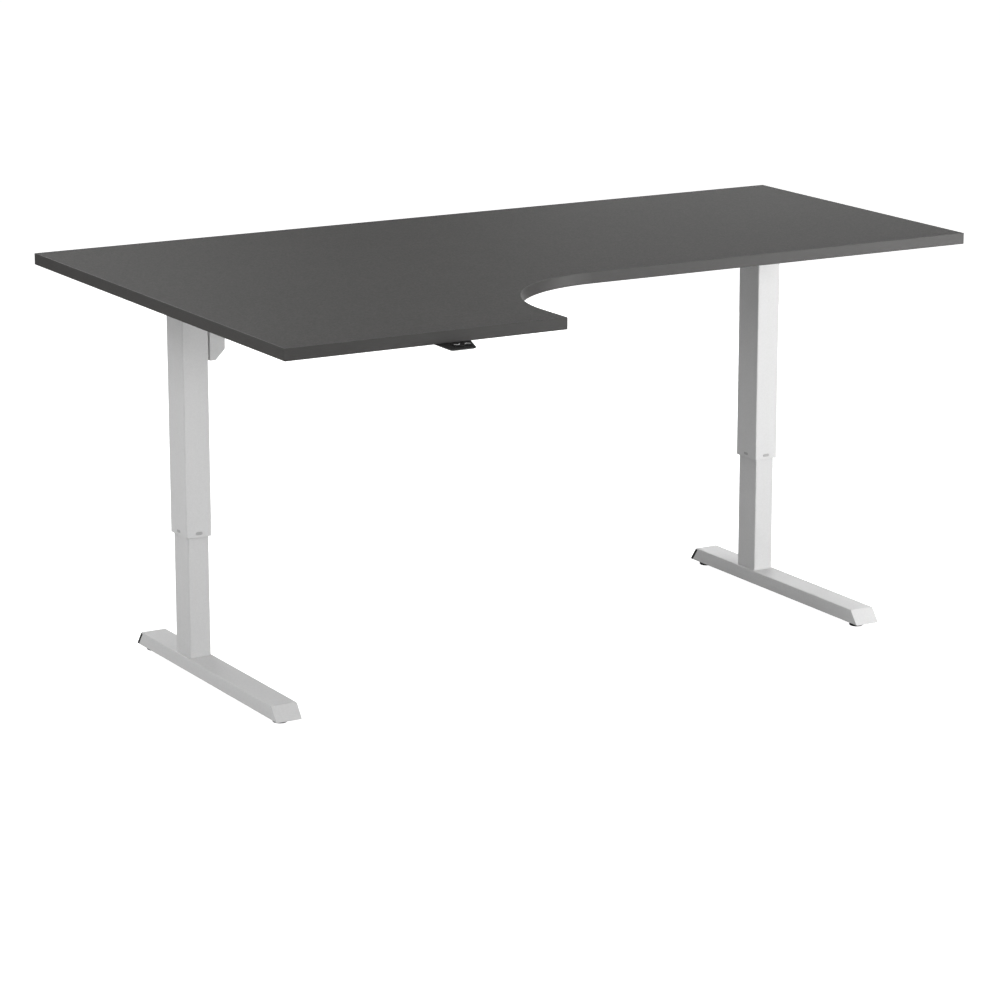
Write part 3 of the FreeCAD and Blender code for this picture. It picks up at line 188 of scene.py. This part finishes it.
# %% [markdown]
# ## Shared effect: pebbled skin
# Powder coat, laminate and moulded plastic all have a skin of tiny rounded bumps. Powder
# coat flows into an orange peel, a laminate is pressed against an etched steel sheet, and
# a plastic mould is etched too. Smooth Voronoi cells give the bumps, and a little noise
# keeps the cells from looking like a honeycomb.

# %% Build the pebble group
FINER_THAN_CELLS = 2.3
pebble, pebble_in, pebble_out = start_group(
    "pebbled_skin",
    [("Size", "Float", 1 * MM), ("Unevenness", "Float", 0.3)],
    [("Height", "Float")],
)
place = add_node(pebble, "ShaderNodeTexCoord").outputs["Object"]
per_metre = sum_up(pebble, "DIVIDE", 1.0, pebble_in["Size"])
cells = add_node(
    pebble,
    "ShaderNodeTexVoronoi",
    {"Vector": place, "Scale": per_metre, "Smoothness": 0.6},
    feature="SMOOTH_F1",
)
finer = sum_up(pebble, "MULTIPLY", per_metre, FINER_THAN_CELLS)
noise = add_node(pebble, "ShaderNodeTexNoise", {"Vector": place, "Scale": finer, "Detail": 2.0})
rough_part = sum_up(pebble, "MULTIPLY", noise.outputs[0], pebble_in["Unevenness"])
height = sum_up(pebble, "SUBTRACT", rough_part, cells.outputs["Distance"])
pebble.links.new(height, pebble_out["Height"])

# %% [markdown]
# ## Shared effect: flecks
# A laminate's print and a powder coat both hold small flecks of a second shade. Each
# Voronoi cell has one random number, so a cell counts as a fleck when its number is under
# the share we ask for. That gives crisp flecks where noise would give soft clouds.

# %% Build the fleck group
fleck, fleck_in, fleck_out = start_group(
    "flecks", [("Size", "Float", 1 * MM), ("Share", "Float", 0.3)], [("Mask", "Float")]
)
place = add_node(fleck, "ShaderNodeTexCoord").outputs["Object"]
per_metre = sum_up(fleck, "DIVIDE", 1.0, fleck_in["Size"])
cells = add_node(fleck, "ShaderNodeTexVoronoi", {"Vector": place, "Scale": per_metre})
number = add_node(fleck, "ShaderNodeSeparateColor", {0: cells.outputs["Color"]}).outputs[0]
chosen = sum_up(fleck, "LESS_THAN", number, fleck_in["Share"])
fleck.links.new(chosen, fleck_out["Mask"])

# %% [markdown]
# ## Shared effect: handling marks
# Hands, cloths and packing leave patches that are a little shinier or duller than the
# rest. They are almost invisible in colour and show only in the gloss. Large noise gives
# the patches, and finer noise inside them gives the wiped look.

# %% Build the handling marks group
PATCH_RANGE = {"From Min": 0.45, "From Max": 0.75}
FINER_THAN_PATCHES = 14.0
marks, marks_in, marks_out = start_group(
    "handling_marks", [("Size", "Float", 0.12), ("Amount", "Float", 0.5)], [("Mask", "Float")]
)
place = add_node(marks, "ShaderNodeTexCoord").outputs["Object"]
per_metre = sum_up(marks, "DIVIDE", 1.0, marks_in["Size"])
patches = add_node(
    marks,
    "ShaderNodeTexNoise",
    {"Vector": place, "Scale": per_metre, "Detail": 4.0, "Distortion": 1.2},
)
patch_mask = add_node(
    marks, "ShaderNodeMapRange", {"Value": patches.outputs[0], **PATCH_RANGE}
).outputs["Result"]
finer = sum_up(marks, "MULTIPLY", per_metre, FINER_THAN_PATCHES)
wipes = add_node(marks, "ShaderNodeTexNoise", {"Vector": place, "Scale": finer, "Detail": 2.0})
wiped = sum_up(marks, "MULTIPLY", patch_mask, wipes.outputs[0])
marks.links.new(sum_up(marks, "MULTIPLY", wiped, marks_in["Amount"]), marks_out["Mask"])

# %% [markdown]
# ## Shared effect: edge catch
# No real edge is razor sharp, and every edge catches a thin line of light. The Bevel node
# looks at the surface nearby and gives the normal that a rounded edge would have. Where
# that differs from the flat normal there is an edge, so the same node also gives a mask
# for the places where a coating is thin or rubbed.

# %% Build the edge catch group
edges, edges_in, edges_out = start_group(
    "edge_catch", [("Radius", "Float", 0.6 * MM), ("Gain", "Float", 3.0)],
    [("Mask", "Float"), ("Normal", "Vector")],
)
rounded = add_node(edges, "ShaderNodeBevel", {"Radius": edges_in["Radius"]}, samples=6)
flat = add_node(edges, "ShaderNodeNewGeometry").outputs["Normal"]
likeness = add_node(
    edges, "ShaderNodeVectorMath", {0: rounded.outputs[0], 1: flat}, operation="DOT_PRODUCT"
).outputs["Value"]
difference = sum_up(edges, "SUBTRACT", 1.0, likeness)
gained = add_node(
    edges, "ShaderNodeMath", {0: difference, 1: edges_in["Gain"]}, operation="MULTIPLY",
    use_clamp=True,
)
edges.links.new(gained.outputs[0], edges_out["Mask"])
edges.links.new(rounded.outputs[0], edges_out["Normal"])


# %% [markdown]
# ## Starting a finish
# Every finish is one Principled shader. What is the same all over the surface, such as how
# strong its reflection is, is typed into the shader itself. Only what changes from spot to
# spot comes through nodes. The bump is measured in metres, so it stays honest: the skin of
# a laminate is about two hundredths of a millimetre deep.

# %% A helper that starts a finish
COAT_ROUGHNESS = 0.1


def start_finish(name, metallic=0.0, reflection=0.5, coat=0.0):
    """A new material with one Principled shader."""
    material = bpy.data.materials.new(name)
    material.use_nodes = True
    shader = material.node_tree.nodes["Principled BSDF"]
    shader.inputs["Metallic"].default_value = metallic
    shader.inputs["Specular IOR Level"].default_value = reflection
    shader.inputs["Coat Weight"].default_value = coat
    shader.inputs["Coat Roughness"].default_value = COAT_ROUGHNESS
    return material, material.node_tree, shader


def grey(value, warmth=0.0):
    """A grey with a touch of warmth, as a colour with full opacity."""
    return (value * (1 + warmth), value, value * (1 - warmth), 1.0)


def shaded_grey(tree, mask, value, shares, warmth=0.0):
    """A grey that runs between two shares of one brightness as the mask runs from 0 to 1."""
    low, high = shares
    return blend_colours(tree, mask, grey(value * low, warmth), grey(value * high, warmth))


def skin_bump(tree, shader, heights, depth, radius=0.6 * MM):
    """Feeds the shader's normal from a skin height on top of softly rounded edges."""
    edge = use_group(tree, edges, Radius=radius)
    values = {"Strength": 1.0, "Distance": depth, "Height": heights, "Normal": edge["Normal"]}
    bump = add_node(tree, "ShaderNodeBump", values)
    tree.links.new(bump.outputs["Normal"], shader.inputs["Normal"])


# %% [markdown]
# ## Finish: dark laminate for the top
# The top is a chipboard with a melamine skin in a dark, slightly warm grey. Its pattern is
# fine: flecks about three millimetres wide in two close shades, with a soft grain inside
# them that keeps two metres of board from looking printed. The pressed skin gives a dull
# sheen, and hands have polished it in patches.

# %% Make the laminate
TOP_GREY = 0.048
TOP_WARMTH = 0.03
FLECK_WARMTH = 0.035
BASE_SHARES, FLECK_SHARES = (0.88, 1.04), (1.08, 1.26)
DULL, POLISHED = 0.64, 0.60
laminate, tree, shader = start_finish("dark_laminate", reflection=0.12)
flecks = use_group(tree, fleck, Size=3.2 * MM, Share=0.45)
clouds = use_group(tree, grain, Size=2.1 * MM, Detail=4.0)
base = shaded_grey(tree, clouds["Mask"], TOP_GREY, BASE_SHARES, TOP_WARMTH)
second = shaded_grey(tree, clouds["Mask"], TOP_GREY, FLECK_SHARES, FLECK_WARMTH)
tree.links.new(blend_colours(tree, flecks["Mask"], base, second), shader.inputs["Base Color"])
touched = use_group(tree, marks, Size=220 * MM, Amount=0.5)
tree.links.new(between(tree, touched["Mask"], DULL, POLISHED), shader.inputs["Roughness"])
etched = use_group(tree, pebble, Size=1.1 * MM)
skin_bump(tree, shader, etched["Height"], 0.03 * MM, radius=0.3 * MM)
print("laminate grey:", TOP_GREY)

# %% [markdown]
# ## Finish: edge band
# The edge of the board is closed with a strip of ABS plastic, two millimetres thick, in
# almost the same grey. It has no print, only fine lines along its length from the scraper
# that trims it, and it is a little smoother than the board, so it reads as a separate strip.

# %% Make the edge band plastic
BAND_SHARES = (0.86, 1.00)
band_plastic, tree, shader = start_finish("edge_band_plastic", reflection=0.28)
scraped = use_group(tree, grain, Size=0.7 * MM, Stretch=(0.05, 0.05, 1.0), Detail=2.0)
band_grey = shaded_grey(tree, scraped["Mask"], TOP_GREY, BAND_SHARES, TOP_WARMTH)
tree.links.new(band_grey, shader.inputs["Base Color"])
tree.links.new(between(tree, scraped["Mask"], 0.44, 0.56), shader.inputs["Roughness"])
skin_bump(tree, shader, scraped["Mask"], 0.01 * MM, radius=0.4 * MM)
print("edge band greys:", [round(TOP_GREY * share, 4) for share in BAND_SHARES])


# %% [markdown]
# ## Finish: powder coat
# The steel frame is powder coated in a pale grey. The powder melts into an orange peel of
# soft bumps a millimetre or two wide, and its pigment gives it a very fine mottling. It is
# thinner over edges, where it turns a touch lighter. The thin lower tube is rubbed by its
# guides, so it gets the same recipe with its own numbers.

# %% Make the powder coats
PAINT_GREY = 0.59
RUBBED_DARKER = 0.97
THIN_COAT = 1.06


def make_powder_coat(name, value, streaks=0.0):
    """Pale powder coat of one brightness, with rub lines along the tube if it slides."""
    material, tree, shader = start_finish(name, reflection=0.5)
    flecks = use_group(tree, fleck, Size=1.2 * MM, Share=0.5)
    mottle = use_group(tree, grain, Size=6 * MM, Detail=3.0)
    dark = shaded_grey(tree, mottle["Mask"], value, (0.955, 0.985))
    light = shaded_grey(tree, mottle["Mask"], value, (0.985, 1.02))
    coat = blend_colours(tree, flecks["Mask"], dark, light)
    edge = use_group(tree, edges, Radius=1.2 * MM, Gain=2.0)
    worn = blend_colours(tree, edge["Mask"], coat, grey(value * THIN_COAT))
    tree.links.new(worn, shader.inputs["Base Color"])
    touched = use_group(tree, marks, Size=90 * MM, Amount=0.8)
    rubbed = use_group(tree, grain, Size=2 * MM, Stretch=(1.0, 1.0, 0.02), Detail=2.0)
    shine = sum_up(tree, "MULTIPLY", rubbed["Mask"], streaks)
    shine = sum_up(tree, "ADD", shine, touched["Mask"])
    tree.links.new(between(tree, shine, 0.5, 0.33), shader.inputs["Roughness"])
    peel = use_group(tree, pebble, Size=1.8 * MM)
    skin_bump(tree, shader, peel["Height"], 0.05 * MM, radius=0.8 * MM)
    return material


frame_coat = make_powder_coat("pale_powder_coat", PAINT_GREY)
sliding_coat = make_powder_coat("sliding_tube_coat", PAINT_GREY * RUBBED_DARKER, streaks=0.5)
print("powder coats:", frame_coat.name, sliding_coat.name)


# %% [markdown]
# ## Finish: moulded plastics
# Four plastics are used. The guides in the tubes and their oval tabs are moulded in a grey
# that is darker than the frame, so the tabs show; that grey is also partly painted shade, made
# dark enough that the lip under each outer tube reads as the shadow line below its rim. The
# spindle nuts are natural acetal, milky and waxy. The foot caps, the glides and the control box
# are black with an etched grain. The handset is black too but polished, so it shows
# fingerprints more than grain. One recipe with different numbers makes all four.

# %% A helper that makes plastics
CLOUD_SIZE = 6
CLOUD_SHADE = 0.88


def make_plastic(name, colour, scuffed, size, depth, roughness, reflection=0.5, coat=0.0):
    """Moulded plastic: etched grain, lighter scuffs on its edges and finger marks."""
    material, tree, shader = start_finish(name, reflection=reflection, coat=coat)
    cloud = use_group(tree, grain, Size=size * CLOUD_SIZE, Detail=3.0)
    shaded = tuple(part * CLOUD_SHADE for part in colour[:3]) + (1.0,)
    body = blend_colours(tree, cloud["Mask"], shaded, colour)
    edge = use_group(tree, edges, Radius=0.9 * MM, Gain=1.2)
    worn = sum_up(tree, "MULTIPLY", edge["Mask"], cloud["Mask"])
    tree.links.new(blend_colours(tree, worn, body, scuffed), shader.inputs["Base Color"])
    touched = use_group(tree, marks, Size=20 * MM, Amount=1.0)
    dull, smooth = roughness
    tree.links.new(between(tree, touched["Mask"], dull, smooth), shader.inputs["Roughness"])
    skin_bump(tree, shader, use_group(tree, pebble, Size=size)["Height"], depth)
    return material


# %% Make the plastics
# The guide grey is partly painted shade: it is dark enough to stand for the shadow under each
# outer tube's rim.
guide_plastic = make_plastic(
    "guide_plastic", grey(PAINT_GREY * 0.66), grey(PAINT_GREY * 0.85),
    size=0.8 * MM, depth=0.02 * MM, roughness=(0.48, 0.36),
)
acetal = make_plastic(
    "natural_acetal", grey(0.72, 0.03), grey(0.82, 0.02),
    size=1.0 * MM, depth=0.02 * MM, roughness=(0.42, 0.28),
)
black_plastic = make_plastic(
    "etched_black_plastic", grey(0.008), grey(0.03),
    size=1.1 * MM, depth=0.05 * MM, roughness=(0.55, 0.38), reflection=0.25,
)
handset_plastic = make_plastic(
    "polished_black_plastic", grey(0.006), grey(0.05),
    size=0.6 * MM, depth=0.006 * MM, roughness=(0.26, 0.14), coat=0.25,
)
print("plastics:", guide_plastic.name, acetal.name, black_plastic.name, handset_plastic.name)

# %% [markdown]
# ## Finish: key print
# The arrows on the two keys are printed in a light grey ink. Ink lies on the key in a thin
# even film, so it is nearly plain, but a screen print leaves a few pinholes and finger
# grease dulls it in patches.

# %% Make the key ink
key_ink, tree, shader = start_finish("key_ink", reflection=0.4)
pinholes = use_group(tree, fleck, Size=0.25 * MM, Share=0.12)
greased = use_group(tree, grain, Size=4 * MM, Detail=3.0)
ink = blend_colours(tree, greased["Mask"], grey(0.68), grey(0.80))
ink = blend_colours(tree, pinholes["Mask"], ink, grey(0.50))
tree.links.new(ink, shader.inputs["Base Color"])
tree.links.new(between(tree, greased["Mask"], 0.35, 0.55), shader.inputs["Roughness"])
skin_bump(tree, shader, pinholes["Mask"], 0.004 * MM, radius=0.1 * MM)
print("ink:", key_ink.name)


# %% [markdown]
# ## Finish: metals
# The spindles, shafts and screws are zinc plated steel, and the gearboxes are die cast
# aluminium. Steel was turned or drawn, so it shows fine lines. Cast metal is dull and
# sandy, and its skin is deeper and coarser than any paint. Both get darker in patches,
# where oil or oxide has settled.

# %% Make the metals
LINE_SHADE = 0.86


def make_metal(name, bright, dark, roughness, size, stretch, depth):
    """Bare metal with lines or a cast skin, and darker patches of oxide."""
    material, tree, shader = start_finish(name, metallic=1.0)
    lines = use_group(tree, grain, Size=size, Stretch=stretch, Detail=3.0)
    oxide = use_group(tree, marks, Size=15 * MM, Amount=1.3)
    lined = tuple(part * LINE_SHADE for part in bright[:3]) + (1.0,)
    plated = blend_colours(tree, lines["Mask"], bright, lined)
    tree.links.new(blend_colours(tree, oxide["Mask"], plated, dark), shader.inputs["Base Color"])
    low, high = roughness
    tree.links.new(between(tree, lines["Mask"], low, high), shader.inputs["Roughness"])
    skin_bump(tree, shader, lines["Mask"], depth, radius=0.3 * MM)
    return material


zinc_steel = make_metal(
    "zinc_plated_steel", (0.60, 0.61, 0.63, 1), grey(0.36),
    roughness=(0.24, 0.42), size=0.6 * MM, stretch=(1, 1, 0.06), depth=0.008 * MM,
)
cast_aluminium = make_metal(
    "cast_aluminium", (0.56, 0.57, 0.58, 1), grey(0.34),
    roughness=(0.45, 0.68), size=1.4 * MM, stretch=(1, 1, 1), depth=0.08 * MM,
)
print("metals:", zinc_steel.name, cast_aluminium.name)

# %% [markdown]
# ## Finish: motor and circuit board
# The motor is a bought part in satin black enamel, brushed on, with a trace of the brush
# round the can. The circuit board is one piece with its parts, so its finish has to change
# with height: green lacquer with lighter copper tracks low down, and grey and brown parts
# above it. The height comes from the part's own coordinates, so it moves with the desk.

# %% Make the motor enamel
motor_enamel, tree, shader = start_finish("motor_enamel", reflection=0.5, coat=0.2)
brushed = use_group(tree, grain, Size=0.9 * MM, Stretch=(0.08, 0.08, 1.0), Detail=2.0)
pooled = use_group(tree, marks, Size=30 * MM, Amount=1.0)
enamel = blend_colours(tree, brushed["Mask"], grey(0.016), grey(0.030))
enamel = blend_colours(tree, pooled["Mask"], enamel, grey(0.045))
tree.links.new(enamel, shader.inputs["Base Color"])
tree.links.new(between(tree, brushed["Mask"], 0.32, 0.46), shader.inputs["Roughness"])
skin_bump(tree, shader, brushed["Mask"], 0.02 * MM)
print("enamel:", motor_enamel.name)

# %% Make the circuit board
LACQUER_HEIGHT = 5.8 * MM
TRACKS_PER_METRE = 60.0
BLACK, WHITE = (0, 0, 0, 1), (1, 1, 1, 1)
BOARD_GREEN, TRACK_GREEN = (0.012, 0.10, 0.035, 1), (0.02, 0.20, 0.07, 1)
CASE_GREY, CASE_BROWN = grey(0.03), (0.10, 0.08, 0.06, 1)
board_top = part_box("control_board")[0].z + LACQUER_HEIGHT
board_lacquer, tree, shader = start_finish("board_lacquer", reflection=0.5)
place = add_node(tree, "ShaderNodeTexCoord").outputs["Object"]
grid = {"Scale": TRACKS_PER_METRE, "Mortar Size": 0.03, "Color1": WHITE, "Color2": BLACK}
tracks = add_node(tree, "ShaderNodeTexBrick", {"Vector": place, **grid})
copper = blend_colours(tree, tracks.outputs["Fac"], BOARD_GREEN, TRACK_GREEN)
height = add_node(tree, "ShaderNodeSeparateXYZ", {0: place}).outputs["Z"]
above = sum_up(tree, "GREATER_THAN", height, board_top)
cases = use_group(tree, grain, Size=20 * MM, Detail=1.0)
parts = blend_colours(tree, cases["Mask"], CASE_GREY, CASE_BROWN)
tree.links.new(blend_colours(tree, above, copper, parts), shader.inputs["Base Color"])
tree.links.new(between(tree, cases["Mask"], 0.3, 0.5), shader.inputs["Roughness"])
skin_bump(tree, shader, tracks.outputs["Fac"], 0.03 * MM)
print("board lacquer up to", round(board_top, 4), "m")

# %% [markdown]
# ## Dressing the CAD parts
# A part that is the right shape stays as it came from CAD and only gets its finish. The
# table below lists the finish for each start of a part's name, so that left and right
# parts are named once. The first start that fits is used, so the closer ones come first.

# %% Give every CAD part its finish
FINISH_OF = [
    ("tabletop", laminate),
    ("edge_band", band_plastic),
    ("inner_tube", sliding_coat),
    ("side_arm", frame_coat),
    ("outer_tube", frame_coat),
    ("foot_bolts", zinc_steel),
    ("foot", frame_coat),
    ("crossbeam", frame_coat),
    ("motor_bracket", frame_coat),
    ("motor_housing", frame_coat),
    ("motor_gear", zinc_steel),
    ("motor_screws", zinc_steel),
    ("motor", motor_enamel),
    ("lower_guide", guide_plastic),
    ("upper_guide", guide_plastic),
    ("spindle_nut", acetal),
    ("spindle", zinc_steel),
    ("shaft_gears", zinc_steel),
    ("hex_shaft", zinc_steel),
    ("base_plate", zinc_steel),
    ("push_tube", zinc_steel),
    ("thrust_bearing", zinc_steel),
    ("gearbox_bolts", zinc_steel),
    ("gearbox", cast_aluminium),
    ("rear_cap", black_plastic),
    ("glide_pad", black_plastic),
    ("glide_stem", zinc_steel),
    ("glide_nuts", zinc_steel),
    ("control_board", board_lacquer),
    ("control_sockets", black_plastic),
    ("control_box", black_plastic),
    ("handset_body", handset_plastic),
    ("button", handset_plastic),
    ("wood_screws", zinc_steel),
    ("frame_screws", zinc_steel),
]


def finish_for(name):
    """The finish of a CAD part, found by how its name starts."""
    return next(finish for start, finish in FINISH_OF if name.startswith(start))


for name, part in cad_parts.items():
    part.data.materials.clear()
    part.data.materials.append(finish_for(name))
print("finished parts:", len(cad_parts))


# %% [markdown]
# ## Printed arrows on the keys
# Each key has an arrow that points the way the desk moves. The CAD key has it as a low
# ridge, and the ink covers just that ridge. It could be painted by a mask in the key's
# material, but a thin printed film of its own stays crisp at any distance. The film is an
# outline pulled up into a thin plate with softly broken edges.

# %% Print the arrows
FACE_DROP, FACE_DEPTH = 3.8 * MM, 38.8 * MM
FACE_SLOPE = math.atan2(FACE_DROP, FACE_DEPTH)
EDGE_BEHIND = 46 * MM
KEY_REACH = 16.5 * MM
ARROW_HALF_WIDTH = 6.5 * MM
ARROW_RISE = 5 * MM
ARROW_THICKNESS = 1.9 * MM
RIDGE_TOP = 1.1 * MM
INK = 0.06 * MM
INK_SKIRT = 0.15 * MM


def link_mesh(name, shape, material):
    """Turns a bmesh into an object in the scene with one finish."""
    mesh = bpy.data.meshes.new(name)
    bmesh.ops.recalc_face_normals(shape, faces=shape.faces)
    shape.to_mesh(mesh)
    shape.free()
    mesh.materials.append(material)
    piece = bpy.data.objects.new(name, mesh)
    bpy.context.scene.collection.objects.link(piece)
    return piece


def arrow_outline(up):
    """Corners of an arrow head in the plane of the key, grown by the film of ink."""
    half, rise, bar = ARROW_HALF_WIDTH + INK, ARROW_RISE / 2, ARROW_THICKNESS / 2 + INK
    corners = [(-half, bar - rise), (0, bar + rise), (half, bar - rise)]
    corners += [(half, -bar - rise), (0, rise - bar), (-half, -bar - rise)]
    return [(x, y if up else -y) for x, y in corners]


def print_arrow(way):
    """A film of ink over the ridge of one key."""
    handset_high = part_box("handset_body")[1]
    key_low, key_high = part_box("button_" + way)
    shape = bmesh.new()
    base = [shape.verts.new((x, y, RIDGE_TOP - INK_SKIRT)) for x, y in arrow_outline(way == "up")]
    face = shape.faces.new(base)
    pulled = bmesh.ops.extrude_face_region(shape, geom=[face])["geom"]
    top = [item for item in pulled if isinstance(item, bmesh.types.BMVert)]
    bmesh.ops.translate(shape, verts=top, vec=(0, 0, INK_SKIRT + INK))
    sharp = [edge for edge in shape.edges if all(vert in top for vert in edge.verts)]
    bmesh.ops.bevel(shape, geom=sharp, offset=INK * 0.8, segments=2, affect="EDGES")
    centre = Vector((
        (key_low.x + key_high.x) / 2,
        handset_high.y - EDGE_BEHIND - KEY_REACH,
        handset_high.z - KEY_REACH * math.tan(FACE_SLOPE),
    ))
    turn = Matrix.Rotation(FACE_SLOPE, 4, "X")
    bmesh.ops.transform(shape, matrix=Matrix.Translation(centre) @ turn, verts=shape.verts)
    piece = link_mesh("arrow_" + way, shape, key_ink)
    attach(piece, "key_" + way)
    print(piece.name, "at", [round(value, 4) for value in centre])


for way in ("down", "up"):
    print_arrow(way)


# %% [markdown]
# ## Screw threads
# The CAD draws its screws as smooth rods, because a thread there costs a lot and holds
# nothing. Up close a smooth rod looks wrong, so the long screws get real threads here. A
# thread is a helix, but it can be made without one: take rings of points along a rod, and
# let each point's radius rise and fall with its height and its angle. Where both go round
# together the ridge climbs. Each threaded rod replaces the smooth one of the same size.

# %% A helper that turns threaded rods
POINTS_ROUND = 24
RINGS_PER_TURN = 8
PLAIN = (0.0, 1.0, 1)


def thread_profile(share):
    """Height of a thread from root 0 to crest 1, for the share of one turn."""
    ramp = abs(2 * share - 1)
    return min(1.0, max(0.0, ramp * 1.8 - 0.4))


def turn_rod(name, centre, sections, material):
    """A rod of stacked sections: (low, high, radius, thread depth, thread spacing, starts).

    A section without a thread ends in PLAIN.
    """
    rings = []
    for low, high, radius, depth, spacing, starts in sections:
        count = max(1, round((high - low) / spacing * RINGS_PER_TURN)) if depth else 1
        for row in range(count + 1):
            z = low + (high - low) * row / count
            ease = min(1.0, (z - low) / spacing, (high - z) / spacing) if depth else 1.0
            lead = spacing * starts
            ring = []
            for step in range(POINTS_ROUND):
                angle = 2 * math.pi * step / POINTS_ROUND
                share = (z / lead - step / POINTS_ROUND) * starts % 1.0
                r = radius - depth * (1 - thread_profile(share) * ease)
                ring.append((centre.x + r * math.cos(angle), centre.y + r * math.sin(angle), z))
            rings.append(ring)
    shape = bmesh.new()
    rows = [[shape.verts.new(point) for point in ring] for ring in rings]
    for lower, upper in zip(rows, rows[1:]):
        for i in range(POINTS_ROUND):
            j = (i + 1) % POINTS_ROUND
            shape.faces.new((lower[i], lower[j], upper[j], upper[i])).smooth = True
    shape.faces.new(rows[0])
    shape.faces.new(rows[-1])
    return link_mesh(name, shape, material)


# %% Cut the glide stems
STEM_RADIUS = 4 * MM
STEM_THREAD = (0.65 * MM, 1.25 * MM, 1)
for side in ("left", "right"):
    for end in ("front", "rear"):
        node = "glide_stem_" + side + "_" + end
        low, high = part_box(node)
        stem = turn_rod(
            "threaded_stem_" + side + "_" + end,
            (low + high) / 2,
            [(low.z, high.z, STEM_RADIUS, *STEM_THREAD)],
            zinc_steel,
        )
        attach(stem, "glide_" + side + "_" + end)
        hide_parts(node)
        print(stem.name, "points:", len(stem.data.vertices))

# %% Cut the lifting spindles
JOURNAL_RADIUS = 5 * MM
NOSE_RADIUS = 4 * MM
SPINDLE_RADIUS = 6 * MM
SPINDLE_THREAD = (1.0 * MM, 4 * MM, 4)
SMOOTH_END = 2 * MM
for side in ("left", "right"):
    low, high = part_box("spindle_" + side)
    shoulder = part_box("thrust_bearing_" + side)[0].z
    gear_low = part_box("spindle_gear_" + side)[0].z
    spindle = turn_rod(
        "threaded_spindle_" + side,
        (low + high) / 2,
        [
            (low.z, shoulder - SMOOTH_END, SPINDLE_RADIUS, *SPINDLE_THREAD),
            (shoulder - SMOOTH_END, shoulder, SPINDLE_RADIUS, *PLAIN),
            (shoulder, gear_low, JOURNAL_RADIUS, *PLAIN),
            (gear_low, high.z, NOSE_RADIUS, *PLAIN),
        ],
        zinc_steel,
    )
    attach(spindle, "spindle_" + side + "_body")
    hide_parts("spindle_" + side)
    print(spindle.name, "points:", len(spindle.data.vertices))

# %% [markdown]
# ## Floor and backdrop
# The desk stands in an all-white studio. Floor and backdrop have to look white to the
# camera, but if they were that bright for everything they would light the desk from all
# sides and flatten it. So both answer two questions differently: to the camera they glow,
# and to light that bounces they are a pale grey card and a dim room.

# %% Lay the floor
FLOOR_HALF = 45.0
FLOOR_GLOW = 1.0
CARD_GREY = 0.55
floor_shape = bmesh.new()
bmesh.ops.create_grid(floor_shape, x_segments=2, y_segments=2, size=FLOOR_HALF)
floor_finish, tree, shader = start_finish("white_studio_floor", reflection=0.0)
shader.inputs["Base Color"].default_value = grey(CARD_GREY)
shader.inputs["Roughness"].default_value = 0.9
seen = add_node(tree, "ShaderNodeLightPath").outputs["Is Camera Ray"]
glow = add_node(tree, "ShaderNodeEmission", {"Color": WHITE, "Strength": FLOOR_GLOW})
card = shader.outputs["BSDF"]
lit = add_node(tree, "ShaderNodeAddShader", {0: card, 1: glow.outputs[0]}).outputs[0]
both = add_node(tree, "ShaderNodeMixShader", {0: seen, 1: card, 2: lit}).outputs[0]
tree.links.new(both, tree.nodes["Material Output"].inputs["Surface"])
floor = link_mesh("floor", floor_shape, floor_finish)
print("floor:", 2 * FLOOR_HALF, "m wide")

# %% Hang the backdrop
ROOM_LIGHT = 0.05
BACKDROP_GLOW = 1.05
world = bpy.data.worlds.new("studio")
world.use_nodes = True
tree = world.node_tree
seen = add_node(tree, "ShaderNodeLightPath").outputs["Is Camera Ray"]
room = tree.nodes["Background"]
room.inputs["Color"].default_value = WHITE
room.inputs["Strength"].default_value = ROOM_LIGHT
white = add_node(tree, "ShaderNodeBackground", {"Color": WHITE, "Strength": BACKDROP_GLOW})
both = add_node(tree, "ShaderNodeMixShader", {0: seen, 1: room.outputs[0], 2: white.outputs[0]})
tree.links.new(both.outputs[0], tree.nodes["World Output"].inputs["Surface"])
bpy.context.scene.world = world
print("room light:", ROOM_LIGHT, "backdrop:", BACKDROP_GLOW)

# %% [markdown]
# ## Lamps
# A ring of soft boxes hangs four metres from the desk, low and high, with one more straight
# above. The strongest is low in front on the right, so the right leg shines and the light
# falls off towards the left. The tall ones at the back and left lift the feet and the left
# leg. Large boxes make the shadows too soft to notice, and turning one box off at a time is
# the way to see what it does. The standard view keeps white walls plain white.

# %% Hang the lamps
RING_RADIUS = 4.0
BOX_SIZE = 2.4
LOW, HIGH = 0.9, 3.2
# Each box: degrees round from the front towards the right, height, watts.
RING = [
    (45, LOW, 202), (90, HIGH, 20), (135, LOW, 52), (180, HIGH, 67), (225, HIGH, 15),
    (270, LOW, 40), (270, HIGH, 54), (315, HIGH, 59),
]
TOP_PLACE = Vector((0, 0.2, 4.6))
TOP_SIZE = 3.0
TOP_WATTS = 52
AIM = Vector((0, 0.1, 0.6))


def hang_box(name, place, size, watts):
    """A square soft box that faces the desk."""
    box_light = bpy.data.lights.new(name, "AREA")
    box_light.shape = "SQUARE"
    box_light.size = size
    box_light.energy = watts
    holder = bpy.data.objects.new("soft_box_" + name, box_light)
    holder.location = place
    holder.rotation_euler = (AIM - place).to_track_quat("-Z", "Y").to_euler()
    bpy.context.scene.collection.objects.link(holder)


for turn, height, watts in RING:
    angle = math.radians(turn)
    place = Vector((RING_RADIUS * math.sin(angle), -RING_RADIUS * math.cos(angle), height))
    level = "low" if height == LOW else "high"
    hang_box(f"{turn}_{level}", place, BOX_SIZE, watts)
hang_box("above", TOP_PLACE, TOP_SIZE, TOP_WATTS)
bpy.context.scene.view_settings.view_transform = "Standard"
total_watts = sum(watts for turn, height, watts in RING) + TOP_WATTS
print("soft boxes:", len(RING) + 1, "watts:", total_watts)
